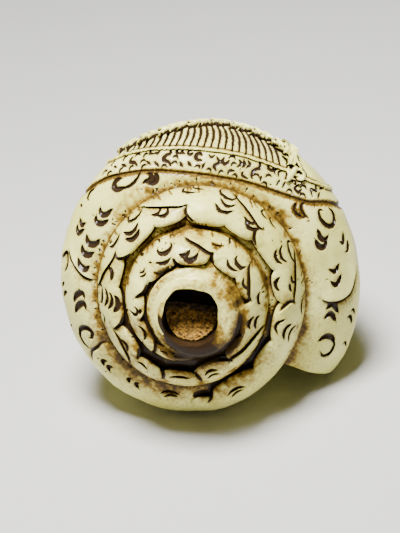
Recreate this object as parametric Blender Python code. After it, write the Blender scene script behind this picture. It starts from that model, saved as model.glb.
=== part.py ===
"""Conch shell trumpet, modelled in metres with +Z up.

The shell is one closed solid. Its outside is a helical strip whose lower edge is the seam of the
next whorl, wound about an axis that lies nearly level: the blown end looks along -Y, the siphonal
canal along +Y, and the aperture faces down. A swept chamber, a canal and a mouth cup are cut out
of it, so that air has a way from the mouth hole through every whorl to the aperture. The rough
crust in the mouth cup is a second solid.

A place on the whorl is an age and a station. The age is 0 at the outer lip, 1 one whorl earlier,
and so on. The station is 0 to 1 across the part of the whorl that shows in the spire, 1 to 2 down
the body whorl, and 2 to 3 along the neck of the canal. Outlines are complex numbers: the real
part is the distance from the axis, the imaginary part the distance along it from the pole.
"""

import math

import bmesh
import bpy
import numpy as np
from mathutils import Matrix, Vector

# Driving dimensions of the whorls
LIP_RADIUS = 0.0575  # from the axis to the outer lip at its widest
GROWTH = 1.47  # size of a whorl over the size of the whorl before it
TALL = 1.07  # the whorls are this much higher than wide
LIP_TURN = math.radians(-32)  # where the aperture's plane stands about the axis
COLUMNS = 72  # meridians in one turn
WHORL_COLUMNS = 334  # meridians from the mouth rim to the outer lip
START_AGE = WHORL_COLUMNS / COLUMNS
MOUTH_RIM = 0.0106  # the radius of the cut spire
MOUTH_GROWTH = 1.215  # the first whorls grow more slowly than the later ones
MOUTH_AGE = (3.1, 2.5)  # where the slow growth gives way to the fast

# The outline of a whorl over the lip radius
FACE = [0.680 + 0.680j, 0.755 + 0.694j, 0.855 + 0.755j, 0.935 + 0.842j, 0.985 + 0.925j, 1 + 1j]
BASE = [1 + 1j, 0.992 + 1.11j, 0.955 + 1.25j, 0.895 + 1.39j, 0.81 + 1.54j]
BASE += [0.705 + 1.70j, 0.60 + 1.86j, 0.50 + 2.01j, 0.415 + 2.16j, 0.35 + 2.31j]
TIP_OUTER = 0.250 + 2.93j  # the canal's tip on the lip's side
TIP_INNER = 0.095 + 2.90j  # the canal's tip on the columella
BASE_ROWS = 9
NECK_ROWS = 5

# The walls
WALL = 0.072  # over the lip radius
CALLUS = 0.014  # enamel over the earlier whorl inside the aperture, over the lip radius
CANAL_WALL = 0.050
CANAL_AGE = 0.161  # how far the canal is cut back from the lip
LIP_ROUND_AGE = 0.05  # the last of the whorl turns in towards the lip's edge
LIP_ROUND = 0.038  # by this, over the lip radius
LIP_BACK = 0.009  # the age by which the lip's edge is trimmed back at its widest
LIP_BACK_AGE = 0.08
LIP_FLARE = 0.019  # the lip flares out by this, over the lip radius
LIP_FLARE_AGE = 0.25
FOLDS = [1.86, 1.72, 1.58]  # stations of the columella's folds
FOLD_HEIGHT = 0.026  # over the lip radius

# The mouth, in metres
MOUTH_RADIUS = 0.0092
MOUTH_OFFSET = Vector((0.0014, 0.0, -0.0010))  # of the hole from the axis
MOUTH_DEPTH = 0.0125
MOUTH_SLANT = 0.0045  # the cup is deeper by this on its upper side, and shallower on its lower
CHAMBER_START = 3.52  # the age at which the chamber leaves the mouth cup
COLLAR_RADIUS = 0.0131
COLLAR_OFFSET = Vector((0.0036, 0.0, -0.0009))
COLLAR_TOP = 0.0096  # the height of the collar's crown from the pole, towards the canal
COLLAR_DROP = 0.0036  # from its crown to its foot
COLLAR_GROOVE = 0.0004
MOUTH_SINK = 0.12  # the chamber lies deeper by this below the cut whorls, over their radius
CRUST_THICKNESS = 0.0035

# The carved clouds
LOBES = 12  # scalloped lobes in one turn
LOBE_PHASE = 0.3
EDGE_NOTCH = 0.24  # stations of the scalloped edge
EDGE_CREST = 0.08
CLOUD_HEIGHT = 0.0013
CLOUD_WALL = 0.06  # width of the cut edge, in stations

# How the shell lies on its lip, its belly and the end of its canal
NOSE_DOWN = math.radians(15.71)
ROLL = math.radians(11.33)
POLE_AT = Vector((-0.00515, -0.08534, 0.05442))


def smooth_curve(points, place):
    """The point at place, 0 to 1, on the Catmull-Rom curve through the points."""
    ends = [2 * points[0] - points[1], *points, 2 * points[-1] - points[-2]]
    step = min(max(place, 0.0), 1.0) * (len(points) - 1)
    k = min(int(step), len(points) - 2)
    u = step - k
    a, b, c, d = ends[k : k + 4]
    bend = (2 * a - 5 * b + 4 * c - d) * u**2 + (3 * b - a - 3 * c + d) * u**3
    return 0.5 * (2 * b + (c - a) * u + bend)


def fade(value, start, end):
    """0 at start, 1 at end, and smooth between them."""
    u = min(max((value - start) / (end - start), 0.0), 1.0)
    return u * u * (3 - 2 * u)


def size(age):
    """The lip radius that the whorl had at this age, in metres."""
    slow = fade(age, MOUTH_AGE[1], MOUTH_AGE[0])
    early = MOUTH_RIM * MOUTH_GROWTH ** (START_AGE - age)
    return (LIP_RADIUS * GROWTH**-age) ** (1 - slow) * early**slow


def outline(age, station):
    """The outside's distance from the axis and along it, as a complex number in metres."""
    if station <= 1:
        seam = (1 + 1j) * size(min(age + 1, START_AGE))
        share = (smooth_curve(FACE, station) - FACE[0]) / (FACE[-1] - FACE[0])
        return seam + ((1 + 1j) * size(age) - seam) * share
    if station <= 2:
        return smooth_curve(BASE, station - 1) * size(age)
    start = BASE[-1] * size(age)
    along = (BASE[-1] - BASE[-2]) * size(age) * 1.6
    tip = (TIP_OUTER + (TIP_INNER - TIP_OUTER) * age) * LIP_RADIUS
    u = station - 2
    before_tip = tip - 0.35j * LIP_RADIUS
    return (
        start * (1 - u) ** 3
        + 3 * (start + along) * u * (1 - u) ** 2
        + 3 * before_tip * u * u * (1 - u)
        + tip * u**3
    )


def outward(age, station):
    """The outline's normal, away from the shell, as a unit complex number."""
    low, high = max(station - 0.01, 0.0), min(station + 0.01, 3.0)
    run = outline(age, high) - outline(age, low)
    return -1j * run / abs(run) if abs(run) > 0 else -1j


def place(point, age):
    """A point of an outline at this age, in the frame of the shell's axis."""
    turn = LIP_TURN + 2 * math.pi * age
    return Vector((point.real * math.cos(turn), point.imag, point.real * math.sin(turn) * TALL))


def cloud_edge(age):
    """The station of the scalloped edge of the carved clouds."""
    across = 2 * ((LOBES * age + LOBE_PHASE) % 1.0) - 1
    return EDGE_NOTCH - (EDGE_NOTCH - EDGE_CREST) * math.sqrt(1 - across * across)


def clouds(age, station):
    """How far the carved clouds stand out from the smooth whorl, in metres."""
    if station <= 0 or station >= 1:
        return 0.0
    above = fade(station, cloud_edge(age), cloud_edge(age) + CLOUD_WALL)
    plate = above * (1 - fade(station, 0.3, 1.0)) - 0.4 * (1 - above)
    return CLOUD_HEIGHT * fade(age, 0.82, 1.0) * plate


def collar_reach(at):
    """The distance from the middle of the collar over its radius."""
    return math.hypot(at.x - COLLAR_OFFSET.x, (at.z - COLLAR_OFFSET.z) / TALL) / COLLAR_RADIUS


def with_collar(at):
    """The point, moved along the axis on to the polished ring about the mouth where it is."""
    reach = collar_reach(at)
    if reach >= 1:
        groove = fade(reach, 1.25, 1.04) if reach > 1.04 else 1.0
        return Vector((at.x, at.y + COLLAR_GROOVE * groove, at.z))
    slope = max(reach - 0.72, 0.0) / 0.28
    crown = COLLAR_TOP + COLLAR_DROP * (1 - (1 - slope**2.4) ** (1 / 2.4))
    return Vector((at.x, min(at.y, crown), at.z))


def stations_of(age, whole):
    """The stations of the rows on one meridian."""
    edge = cloud_edge(age)
    face = [0.0, edge, edge + CLOUD_WALL, 0.45, 0.63, 0.82, 1.0]
    if not whole:
        return face
    base = [1 + (k + 1) / BASE_ROWS for k in range(BASE_ROWS)]
    return face + base + [2 + (k + 1) / NECK_ROWS for k in range(NECK_ROWS)]


def turned_in(age, station):
    """How far the outside turns in by the lip's edge, in metres."""
    reach = max(1 - age / LIP_ROUND_AGE, 0.0)
    along = fade(station, 0.0, 0.25) * (1 - 0.6 * fade(station, 2.0, 3.0))
    return LIP_ROUND * LIP_RADIUS * (1 - math.sqrt(1 - reach * reach)) * along


def surface_point(age, station):
    """A point of the carved outside, in the frame of the shell's axis."""
    point = outline(age, station)
    if age < LIP_ROUND_AGE:
        point -= outward(age, station) * turned_in(age, station)
    if age < LIP_FLARE_AGE:
        wide = fade(station, 0.2, 0.9) * (1 - fade(station, 1.3, 2.0))
        point += LIP_FLARE * LIP_RADIUS * (1 - fade(age, 0.0, LIP_FLARE_AGE)) * wide
        age += LIP_BACK * max(1 - age / LIP_BACK_AGE, 0.0) * fade(station, 0.0, 1.0)
    away = fade(collar_reach(place(point, age)), 1.05, 1.25)
    if station < 1:
        point += outward(age, station) * clouds(age, station) * away
    return with_collar(place(point, age)) if age > 1.5 else place(point, age)


def shell_outside(name):
    """The closed outside of the shell: the helical strip, the mouth, the aperture and the tip."""
    mesh = bmesh.new()
    columns = []
    face_end = len(stations_of(0.0, False)) - 1
    for i in range(WHORL_COLUMNS + 1):
        age = (WHORL_COLUMNS - i) / COLUMNS
        stations = stations_of(age, i >= WHORL_COLUMNS - COLUMNS)
        if i < COLUMNS:
            top = mesh.verts.new(with_collar(place((1 + 1j) * size(START_AGE), age)))
        else:
            top = columns[i - COLUMNS][face_end]
        if i == 0:
            columns.append([top] * len(stations))
            continue
        columns.append([top] + [mesh.verts.new(surface_point(age, s)) for s in stations[1:]])
    for before, after in zip(columns, columns[1:]):
        for j in range(min(len(before), len(after)) - 1):
            corners = [before[j], before[j + 1], after[j + 1], after[j]]
            mesh.faces.new(list(dict.fromkeys(corners)))
    close_mouth(mesh, [columns[i][0] for i in range(COLUMNS)])
    body = columns[WHORL_COLUMNS - COLUMNS :]
    mesh.faces.new([column[-1] for column in body])
    mesh.faces.new(body[-1] + body[0][:face_end:-1])
    return solid(mesh, name)


def close_mouth(mesh, rim):
    """Carries the collar's crown from the first whorl's rim to inside the mouth hole."""
    rings = [rim]
    for share in (0.5, 1.0):
        ring = []
        for i, vertex in enumerate(rim):
            turn = LIP_TURN + 2 * math.pi * (START_AGE - i / COLUMNS)
            hole = Vector((math.cos(turn), 0, math.sin(turn) * TALL)) * MOUTH_RADIUS * 0.93
            at = vertex.co.lerp(MOUTH_OFFSET + hole, share)
            ring.append(mesh.verts.new(with_collar(Vector((at.x, COLLAR_TOP + 0.001, at.z)))))
        rings.append(ring)
    for outer, inner in zip(rings, rings[1:]):
        for i in range(COLUMNS):
            k = (i + 1) % COLUMNS
            mesh.faces.new([outer[i], outer[k], inner[k], inner[i]])
    mesh.faces.new(rings[-1])


def solid(mesh, name):
    """An object made of a bmesh that has its normals turned outward."""
    bmesh.ops.triangulate(mesh, faces=mesh.faces)
    bmesh.ops.recalc_face_normals(mesh, faces=mesh.faces)
    data = bpy.data.meshes.new(name)
    mesh.to_mesh(data)
    mesh.free()
    made = bpy.data.objects.new(name, data)
    bpy.context.scene.collection.objects.link(made)
    return made


def swept(sections, name):
    """A closed solid through sections of as many points, an even number of them in each."""
    mesh = bmesh.new()
    rings = [[mesh.verts.new(point) for point in section] for section in sections]
    count = len(rings[0])
    for before, after in zip(rings, rings[1:]):
        for j in range(count):
            k = (j + 1) % count
            mesh.faces.new([before[j], before[k], after[k], after[j]])
    for ring in (rings[0], rings[-1]):
        for j in range(count // 2 - 1):
            mesh.faces.new([ring[j], ring[j + 1], ring[count - 2 - j], ring[count - 1 - j]])
    return solid(mesh, name)


def chamber_section(age):
    """The chamber's outline in metres, from the seam round by the outer wall to the inner."""
    outer, inner = [], [(0.20 + 2.06j) * size(age)]
    sunk = MOUTH_SINK * fade(age, MOUTH_AGE[1], MOUTH_AGE[0])
    for station in (0.22, 0.45, 0.72, 1.0, 1.25, 1.5, 1.75, 1.95):
        wall = outline(0, station) - outward(0, station) * WALL * LIP_RADIUS
        outer.append((wall / LIP_RADIUS + 1j * sunk * max(1 - station, 0.0)) * size(age))
    for station in (2.0, 1.86, 1.72, 1.58, 1.44, 1.3, 1.16):
        wall = outline(0, station) + outward(0, station) * CALLUS * GROWTH * LIP_RADIUS
        fold = sum(max(1 - abs(station - s) / 0.08, 0.0) for s in FOLDS) * FOLD_HEIGHT
        inner.append(wall * size(age + 1) / LIP_RADIUS + fold * size(age))
    return outer + inner


def chamber_cutter():
    """The space that the animal lived in, from just outside the lip back to the mouth cup."""
    ages = [-0.034 + 0.0305 * k for k in range(18)]
    step = (CHAMBER_START - ages[-1]) / 52
    ages += [ages[-1] + step * (k + 1) for k in range(52)]
    return swept([[place(p, a) for p in chamber_section(a)] for a in ages], "chamber_cutter")


def canal_cutter():
    """The open groove from the chamber to the canal's tip."""
    sections = []
    for k in range(7):
        age = -0.037 + (CANAL_AGE + 0.037) * k / 6
        reach = 0.35 + 0.65 * math.sqrt(1 - min(max(age / CANAL_AGE, 0.0), 1.0) ** 2)
        outer, inner = [], []
        for height in (1.5, 1.75, 2.05, 2.35, 2.7, 3.1):
            low, high = canal_sides(height)
            half = (high - low) / 2 * reach * (0.3 + 0.7 * fade(height, 1.5, 2.05))
            outer.append(complex((low + high) / 2 + half, height))
            inner.append(complex((low + high) / 2 - half, height))
        sections.append([place(p * LIP_RADIUS, age) for p in outer + inner[::-1]])
    return swept(sections, "canal_cutter")


def canal_sides(height):
    """The canal's inner and outer distance from the axis at a height, over the lip radius."""
    fine = [1 + k / 100 for k in range(201)]
    lip = [outline(0, s) / LIP_RADIUS for s in fine]
    column = [outline(1, s) / LIP_RADIUS for s in fine]
    wall = WALL * 1.1 + (CANAL_WALL - WALL * 1.1) * fade(height, 2.0, 2.8)
    high = np.interp(height, [p.imag for p in lip], [p.real for p in lip]) - wall
    low = np.interp(height, [p.imag for p in column], [p.real for p in column]) + CALLUS
    return float(low), float(high)


def mouth_centre():
    """Where the mouth hole's axis meets the cut rim."""
    return MOUTH_OFFSET + Vector((0, COLLAR_TOP, 0))


def cup_cutter():
    """The mouth hole, whose floor slants down towards its upper side."""
    centre = mouth_centre()
    top, bottom = [], []
    for angle in np.linspace(0, 2 * math.pi, 28, endpoint=False):
        x, z = math.cos(angle) * MOUTH_RADIUS, math.sin(angle) * MOUTH_RADIUS * TALL
        top.append(centre + Vector((x, -0.004, z)))
        floor = MOUTH_DEPTH + MOUTH_SLANT * math.sin(angle)
        bottom.append(centre + Vector((x, floor, z)))
    return swept([top, bottom], "cup_cutter")


def cut(target, cutter):
    """Takes the cutter out of the target, and keeps it as a hidden guide."""
    cutter.hide_render = True
    cutter.display_type = "WIRE"
    modifier = target.modifiers.new("cut_" + cutter.name, "BOOLEAN")
    modifier.operation = "DIFFERENCE"
    modifier.object = cutter


def finish(name, colour, roughness):
    """A plain material."""
    material = bpy.data.materials.new(name)
    material.use_nodes = True
    shader = material.node_tree.nodes["Principled BSDF"]
    shader.inputs["Base Color"].default_value = (*colour, 1.0)
    shader.inputs["Roughness"].default_value = roughness
    return material


def mouth_crust():
    """The rough crust on the floor of the mouth cup, thickest on its lower side."""
    centre = mouth_centre()
    reach = MOUTH_RADIUS - 0.0003
    rings = [[], []]
    for angle in np.linspace(math.radians(-190), math.radians(10), 24):
        x, rise = math.cos(angle) * reach, math.sin(angle)
        floor = MOUTH_DEPTH + MOUTH_SLANT * rise * reach / MOUTH_RADIUS - 0.0003
        front = floor - CRUST_THICKNESS * (1 - 0.4 * rise)
        rings[0].append(centre + Vector((x, floor, rise * reach * TALL)))
        rings[1].append(centre + Vector((x, front, rise * reach * TALL)))
    return swept(rings, "mouth_crust")


def lay_down(objects):
    """Turns the objects from the frame of the shell's axis to how the shell lies."""
    turn = Matrix.Rotation(-NOSE_DOWN, 4, "X") @ Matrix.Rotation(ROLL, 4, "Y")
    for made in objects:
        made.matrix_world = Matrix.Translation(POLE_AT) @ turn


def main():
    for old in list(bpy.data.objects):
        bpy.data.objects.remove(old)
    shell = shell_outside("conch_shell")
    cutters = [chamber_cutter(), canal_cutter(), cup_cutter()]
    for cutter in cutters:
        cut(shell, cutter)
    crust = mouth_crust()
    shell.data.materials.append(finish("polished_shell", (0.80, 0.74, 0.56), 0.3))
    crust.data.materials.append(finish("old_pitch", (0.30, 0.18, 0.06), 0.8))
    lay_down([shell, crust, *cutters])
    shell.data.shade_smooth()
    shell.data.set_sharp_from_angle(angle=math.radians(35))


main()
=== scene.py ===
"""A conch shell trumpet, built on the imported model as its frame.

The shell grows about an axis that lies nearly level. A place on it is an age, 0 at the outer lip
and 1 one whorl earlier, and a station, 0 to 1 across the face that shows in the spire, 1 to 2 down
the body whorl and 2 to 3 along the canal's neck. The carver's lines are laid out on the unrolled
skin, where the first coordinate is the turn in radians and the second the way along the meridian
over the distance from the axis, so that small shapes keep their form. The skin is triangulated
with every line of the carving in it, raised and cut, closed, and hollowed.
"""

from __future__ import annotations

import logging
import math
from dataclasses import dataclass, field
from enum import Enum

import bmesh
import bpy
import numpy as np
from mathutils import Matrix, Vector, kdtree
from mathutils.geometry import delaunay_2d_cdt


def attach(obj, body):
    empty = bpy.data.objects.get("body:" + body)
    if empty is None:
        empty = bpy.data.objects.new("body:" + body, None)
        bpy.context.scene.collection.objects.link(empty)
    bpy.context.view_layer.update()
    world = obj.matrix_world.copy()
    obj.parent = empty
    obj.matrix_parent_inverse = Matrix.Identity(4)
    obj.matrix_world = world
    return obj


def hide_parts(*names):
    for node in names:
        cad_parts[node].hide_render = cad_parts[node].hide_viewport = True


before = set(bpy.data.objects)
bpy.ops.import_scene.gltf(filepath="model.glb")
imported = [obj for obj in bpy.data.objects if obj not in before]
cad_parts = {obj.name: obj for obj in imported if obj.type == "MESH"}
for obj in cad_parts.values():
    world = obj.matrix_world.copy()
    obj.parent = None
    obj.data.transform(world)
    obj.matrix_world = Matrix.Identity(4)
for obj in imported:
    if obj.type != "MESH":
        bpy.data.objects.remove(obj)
LOG = logging.getLogger("conch")
MM = 0.001


def smooth_curve(points: list[complex], place: np.ndarray) -> np.ndarray:
    """Reads a Catmull-Rom curve.

    Args:
        points: The curve's points.
        place: Where to read it, from 0 at the first point to 1 at the last.

    Returns:
        The points at those places.
    """
    ends = np.array([2 * points[0] - points[1], *points, 2 * points[-1] - points[-2]])
    step = np.clip(place, 0.0, 1.0) * (len(points) - 1)
    k = np.minimum(step.astype(int), len(points) - 2)
    u = step - k
    a, b, c, d = ends[k], ends[k + 1], ends[k + 2], ends[k + 3]
    bend = (2 * a - 5 * b + 4 * c - d) * u**2 + (3 * b - a - 3 * c + d) * u**3
    return 0.5 * (2 * b + (c - a) * u + bend)


def fade(value: np.ndarray | float, start: float, end: float) -> np.ndarray:
    """Eases from 0 to 1.

    Args:
        value: What is eased.
        start: The value where the result leaves 0.
        end: The value where the result reaches 1.

    Returns:
        The eased values.
    """
    u = np.clip((np.asarray(value, dtype=float) - start) / (end - start), 0.0, 1.0)
    return u * u * (3 - 2 * u)


def waves(where: np.ndarray, seed: int, reach: float) -> np.ndarray:
    """Makes a smooth random value from a few sine waves.

    Args:
        where: Points in metres, one to a row.
        seed: Which random waves.
        reach: The length of a typical wave, in metres.

    Returns:
        Values of about -1 to 1.
    """
    rng = np.random.default_rng(seed)
    total = np.zeros(len(where))
    for _ in range(9):
        way = rng.normal(size=3)
        way *= 2 * math.pi / reach * rng.uniform(0.6, 1.6) / np.linalg.norm(way)
        total += np.sin(where @ way + rng.uniform(0, 2 * math.pi))
    return total / 4.5


def whole(thousandths: list[complex]) -> list[complex]:
    """Turns ages and stations in thousandths into whole ones."""
    return [spot / 1000 for spot in thousandths]


@dataclass(frozen=True)
class Whorls:
    """The shell's coil, in the frame of its axis, in metres."""

    lip_radius: float = 0.0575
    growth: float = 1.47
    tall: float = 1.07
    lip_turn: float = math.radians(-32)
    start_age: float = 334 / 72
    mouth_rim: float = 0.0106
    mouth_growth: float = 1.215
    slow_until: tuple[float, float] = (2.5, 3.1)
    tip_outer: complex = 0.250 + 2.93j
    tip_inner: complex = 0.095 + 2.90j
    lip_round_age: float = 0.05
    lip_round: float = 0.038
    lip_back: float = 0.009
    lip_back_age: float = 0.08
    lip_flare: float = 0.019
    lip_flare_age: float = 0.25
    nose_down: float = math.radians(15.71)
    roll: float = math.radians(11.33)
    pole_at: tuple[float, float, float] = (-0.00515, -0.08534, 0.05442)
    face: tuple[complex, ...] = (
        0.680 + 0.680j, 0.755 + 0.694j, 0.855 + 0.755j, 0.935 + 0.842j, 0.985 + 0.925j, 1 + 1j,
    )
    base: tuple[complex, ...] = (
        1 + 1j, 0.992 + 1.11j, 0.955 + 1.25j, 0.895 + 1.39j, 0.81 + 1.54j,
        0.705 + 1.70j, 0.60 + 1.86j, 0.50 + 2.01j, 0.415 + 2.16j, 0.35 + 2.31j,
    )

    def size(self, age: np.ndarray) -> np.ndarray:
        """Gives the lip radius that the whorl had at an age, in metres.

        Args:
            age: One age or many.

        Returns:
            The radii.
        """
        age = np.asarray(age, dtype=float)
        slow = fade(age, *self.slow_until)
        early = self.mouth_rim * self.mouth_growth ** (self.start_age - age)
        return (self.lip_radius * self.growth**-age) ** (1 - slow) * early**slow

    def outline(self, age: np.ndarray, station: np.ndarray) -> np.ndarray:
        """Gives the smooth outside.

        Args:
            age: Ages of the places.
            station: Their stations.

        Returns:
            The distance from the axis and, as the imaginary part, along it from the pole.
        """
        age, station = np.broadcast_arrays(np.asarray(age, float), np.asarray(station, float))
        here = self.size(age)
        seam = (1 + 1j) * self.size(np.minimum(age + 1, self.start_age))
        across = smooth_curve(list(self.face), station)
        share = (across - self.face[0]) / (self.face[-1] - self.face[0])
        spire = seam + ((1 + 1j) * here - seam) * share
        belly = smooth_curve(list(self.base), station - 1) * here
        start = self.base[-1] * here
        along = (self.base[-1] - self.base[-2]) * here * 1.6
        tip = (self.tip_outer + (self.tip_inner - self.tip_outer) * age) * self.lip_radius
        u = np.clip(station - 2, 0, 1)
        before = tip - 0.35j * self.lip_radius
        neck = start * (1 - u) ** 3 + 3 * (start + along) * u * (1 - u) ** 2
        neck = neck + 3 * before * u * u * (1 - u) + tip * u**3
        return np.where(station <= 1, spire, np.where(station <= 2, belly, neck))

    def outward(self, age: np.ndarray, station: np.ndarray) -> np.ndarray:
        """Gives the outline's unit normal, away from the shell, as a complex number.

        Args:
            age: Ages of the places.
            station: Their stations.

        Returns:
            The normals.
        """
        run = self.outline(age, np.minimum(station + 0.01, 3.0))
        run = run - self.outline(age, np.maximum(station - 0.01, 0.0))
        length = np.abs(run)
        return np.where(length > 1e-9, -1j * run / np.maximum(length, 1e-9), -1j)

    def place(self, point: np.ndarray, age: np.ndarray) -> np.ndarray:
        """Gives points of outlines at their ages as rows of x, y, z in the axis's frame.

        Args:
            point: Points of outlines, as complex numbers.
            age: Their ages.

        Returns:
            The rows.
        """
        point = np.asarray(point)
        turn = self.lip_turn + 2 * math.pi * np.asarray(age, float)
        x, z = point.real * np.cos(turn), point.real * np.sin(turn) * self.tall
        return np.stack(np.broadcast_arrays(x, point.imag, z), axis=-1)

    def turned_in(self, age: np.ndarray, station: np.ndarray) -> np.ndarray:
        """Gives how far the outside turns in by the lip's edge, in metres.

        Args:
            age: Ages of the places.
            station: Their stations.

        Returns:
            The distances.
        """
        reach = np.clip(1 - age / self.lip_round_age, 0.0, 1.0)
        along = fade(station, 0.0, 0.25) * (1 - 0.6 * fade(station, 2.0, 3.0))
        return self.lip_round * self.lip_radius * (1 - np.sqrt(1 - reach * reach)) * along

    def flared(
        self, point: np.ndarray, age: np.ndarray, station: np.ndarray
    ) -> tuple[np.ndarray, np.ndarray]:
        """Flares the lip out and trims its edge back where it is widest.

        Args:
            point: Points of the outline.
            age: Their ages.
            station: Their stations.

        Returns:
            The points and ages after it.
        """
        wide = fade(station, 0.2, 0.9) * (1 - fade(station, 1.3, 2.0))
        out = self.lip_flare * self.lip_radius * (1 - fade(age, 0.0, self.lip_flare_age)) * wide
        back = self.lip_back * np.clip(1 - age / self.lip_back_age, 0.0, 1.0) * fade(station, 0.0, 1.0)
        return point + out, age + back

    def resting(self) -> Matrix:
        """Gives the turn and move from the axis's frame to how the shell lies."""
        turn = Matrix.Rotation(-self.nose_down, 4, "X") @ Matrix.Rotation(self.roll, 4, "Y")
        return Matrix.Translation(self.pole_at) @ turn


@dataclass(frozen=True)
class Collar:
    """The polished ring about the mouth, in metres."""

    tall: float = 1.07
    radius: float = 0.0131
    offset: tuple[float, float] = (0.0036, -0.0009)
    top: float = 0.0096
    drop: float = 0.0036
    groove: float = 0.0004
    hole: tuple[float, float, float] = (0.0014, -0.0010, 0.0092)
    # Stains on the ring: direction in degrees, distance over the radius, size in mm, strength. The broad,
    # strong ones below the middle also paint the shade on the ring's lower side.
    stains: tuple[tuple[float, float, float, float], ...] = (
        (56, 0.84, 2.0, 0.55), (40, 0.92, 2.0, 0.6), (72, 0.92, 1.7, 0.5), (22, 0.98, 2.0, 0.6),
        (2, 1.00, 1.8, 0.6), (-15, 1.00, 1.7, 0.6), (-150, 0.98, 1.2, 0.2), (-38, 0.98, 2.2, 0.75),
        (-75, 0.90, 2.8, 1.1), (-115, 0.86, 2.8, 1.1), (-95, 0.86, 3.0, 1.2), (-56, 0.90, 2.3, 0.95),
        (-132, 0.90, 1.8, 0.7), (-10, 0.90, 1.0, 0.3), (88, 0.80, 0.9, 0.45), (5, 0.72, 0.4, 0.5),
        (62, 0.66, 0.45, 0.6), (28, 0.75, 0.35, 0.6), (48, 0.74, 0.45, 0.7), (100, 0.88, 0.45, 0.6),
    )

    def reach(self, at: np.ndarray) -> np.ndarray:
        """Gives the distance from the collar's middle over its radius."""
        return np.hypot(at[:, 0] - self.offset[0], (at[:, 2] - self.offset[1]) / self.tall) / self.radius

    def stain_and_shade(self, at: np.ndarray) -> np.ndarray:
        """Works out how brown the ring is: stains, browner towards the right, with painted shade on its lower
        side, at its foot and about the hole's lower rim.

        Args:
            at: Points in the axis's frame, one to a row.

        Returns:
            The brown dirt and painted shade from 0 to 1.
        """
        flat = np.stack([at[:, 0], np.zeros(len(at)), at[:, 2]], axis=-1)
        reach = self.reach(at)
        right = fade(at[:, 0] - self.offset[0], -0.3 * self.radius, 0.8 * self.radius)
        brown = 0.12 + 0.12 * waves(flat, 41, 0.007) + 0.09 * waves(flat, 42, 0.0025) + 0.12 * right
        left = fade(self.offset[0] - at[:, 0], 0.2 * self.radius, 0.8 * self.radius)
        foot = reach - 0.10 * left + 0.07 * right
        # Painted shade: the ring's dark foot is much heavier on its lower side.
        low = fade((self.offset[1] - at[:, 2]) / self.radius, -0.25, 0.75)
        mottled = 1 + 0.45 * waves(flat, 43, 0.0035) + 0.3 * waves(flat, 44, 0.0013)
        brown = brown + (0.38 + 1.1 * low) * mottled * fade(foot, 1.0, 1.12)
        for way, far, size, strength in self.stains:
            angle = math.radians(way)
            x = at[:, 0] - self.offset[0] - math.cos(angle) * far * self.radius
            z = at[:, 2] - self.offset[1] - math.sin(angle) * far * self.radius * self.tall
            brown = brown + strength * np.exp(-(x * x + z * z) / (size * MM) ** 2)
        x, z = at[:, 0] - self.hole[0], (at[:, 2] - self.hole[1]) / self.tall
        away = (np.hypot(x, z) - self.hole[2]) / MM
        # The dark rim about the hole: brown dirt, with painted shade that makes it heavier and wider on its
        # lower side.
        under = fade(-z / np.maximum(np.hypot(x, z), 1e-6), -0.2, 0.7)
        rim = (0.2 + 1.1 * under) * np.exp(-np.maximum(away, 0) / (0.5 + 2.0 * under))
        return np.clip(brown + rim, 0, 1.6)

    @staticmethod
    def black(stain_and_shade: np.ndarray) -> np.ndarray:
        """Gives the dark colour of the ring where its stains and painted shade are heaviest, mostly on its
        lower side.
        """
        return 0.6 * fade(stain_and_shade, 0.95, 1.45)

    def dress(self, at: np.ndarray) -> np.ndarray:
        """Moves points along the axis on to the ring where it is.

        Args:
            at: Points in the axis's frame, one to a row.

        Returns:
            The moved points.
        """
        reach = self.reach(at)
        groove = np.where(reach > 1.04, 1 - fade(reach, 1.04, 1.25), 1.0)
        slope = np.clip(reach - 0.72, 0.0, 0.28) / 0.28
        crown = self.top + self.drop * (1 - (1 - slope**2.4) ** (1 / 2.4))
        out = at.copy()
        out[:, 1] = np.where(reach >= 1, at[:, 1] + self.groove * groove, np.minimum(at[:, 1], crown))
        return out


@dataclass(frozen=True)
class Skin:
    """The unrolled outside, on which shapes of a few millimetres keep their form."""

    whorls: Whorls
    fine: np.ndarray = field(init=False, repr=False)
    along: np.ndarray = field(init=False, repr=False)

    def __post_init__(self) -> None:
        """Measures the way along the reference meridian."""
        fine = np.linspace(0, 3, 1201)
        line = self.whorls.outline(np.full_like(fine, 0.35), fine)
        steps = np.abs(np.diff(line)) * 2 / (line.real[1:] + line.real[:-1])
        object.__setattr__(self, "fine", fine)
        object.__setattr__(self, "along", np.concatenate([[0.0], np.cumsum(steps)]))

    def of_station(self, station: np.ndarray) -> np.ndarray:
        """Gives the second coordinate of stations."""
        return np.interp(station, self.fine, self.along)

    def station(self, along: np.ndarray) -> np.ndarray:
        """Gives the stations of second coordinates."""
        return np.interp(along, self.along, self.fine)

    def at(self, spots: np.ndarray) -> np.ndarray:
        """Turns ages with stations as imaginary parts into places on the skin."""
        spots = np.asarray(spots, dtype=complex)
        return 2 * math.pi * spots.real + 1j * self.of_station(spots.imag)

    def radius(self, place: np.ndarray) -> np.ndarray:
        """Gives the distance from the axis at places on the skin, in metres."""
        place = np.asarray(place)
        return self.whorls.outline(place.real / (2 * math.pi), self.station(place.imag)).real


class Cut(Enum):
    """How a line of the carving shapes the skin."""

    GOUGE = "a furrow with dark colour rubbed in"
    EDGE = "the step at the rim of a plate, high on the line's left"
    RIDGE = "a raised cord"


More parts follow.
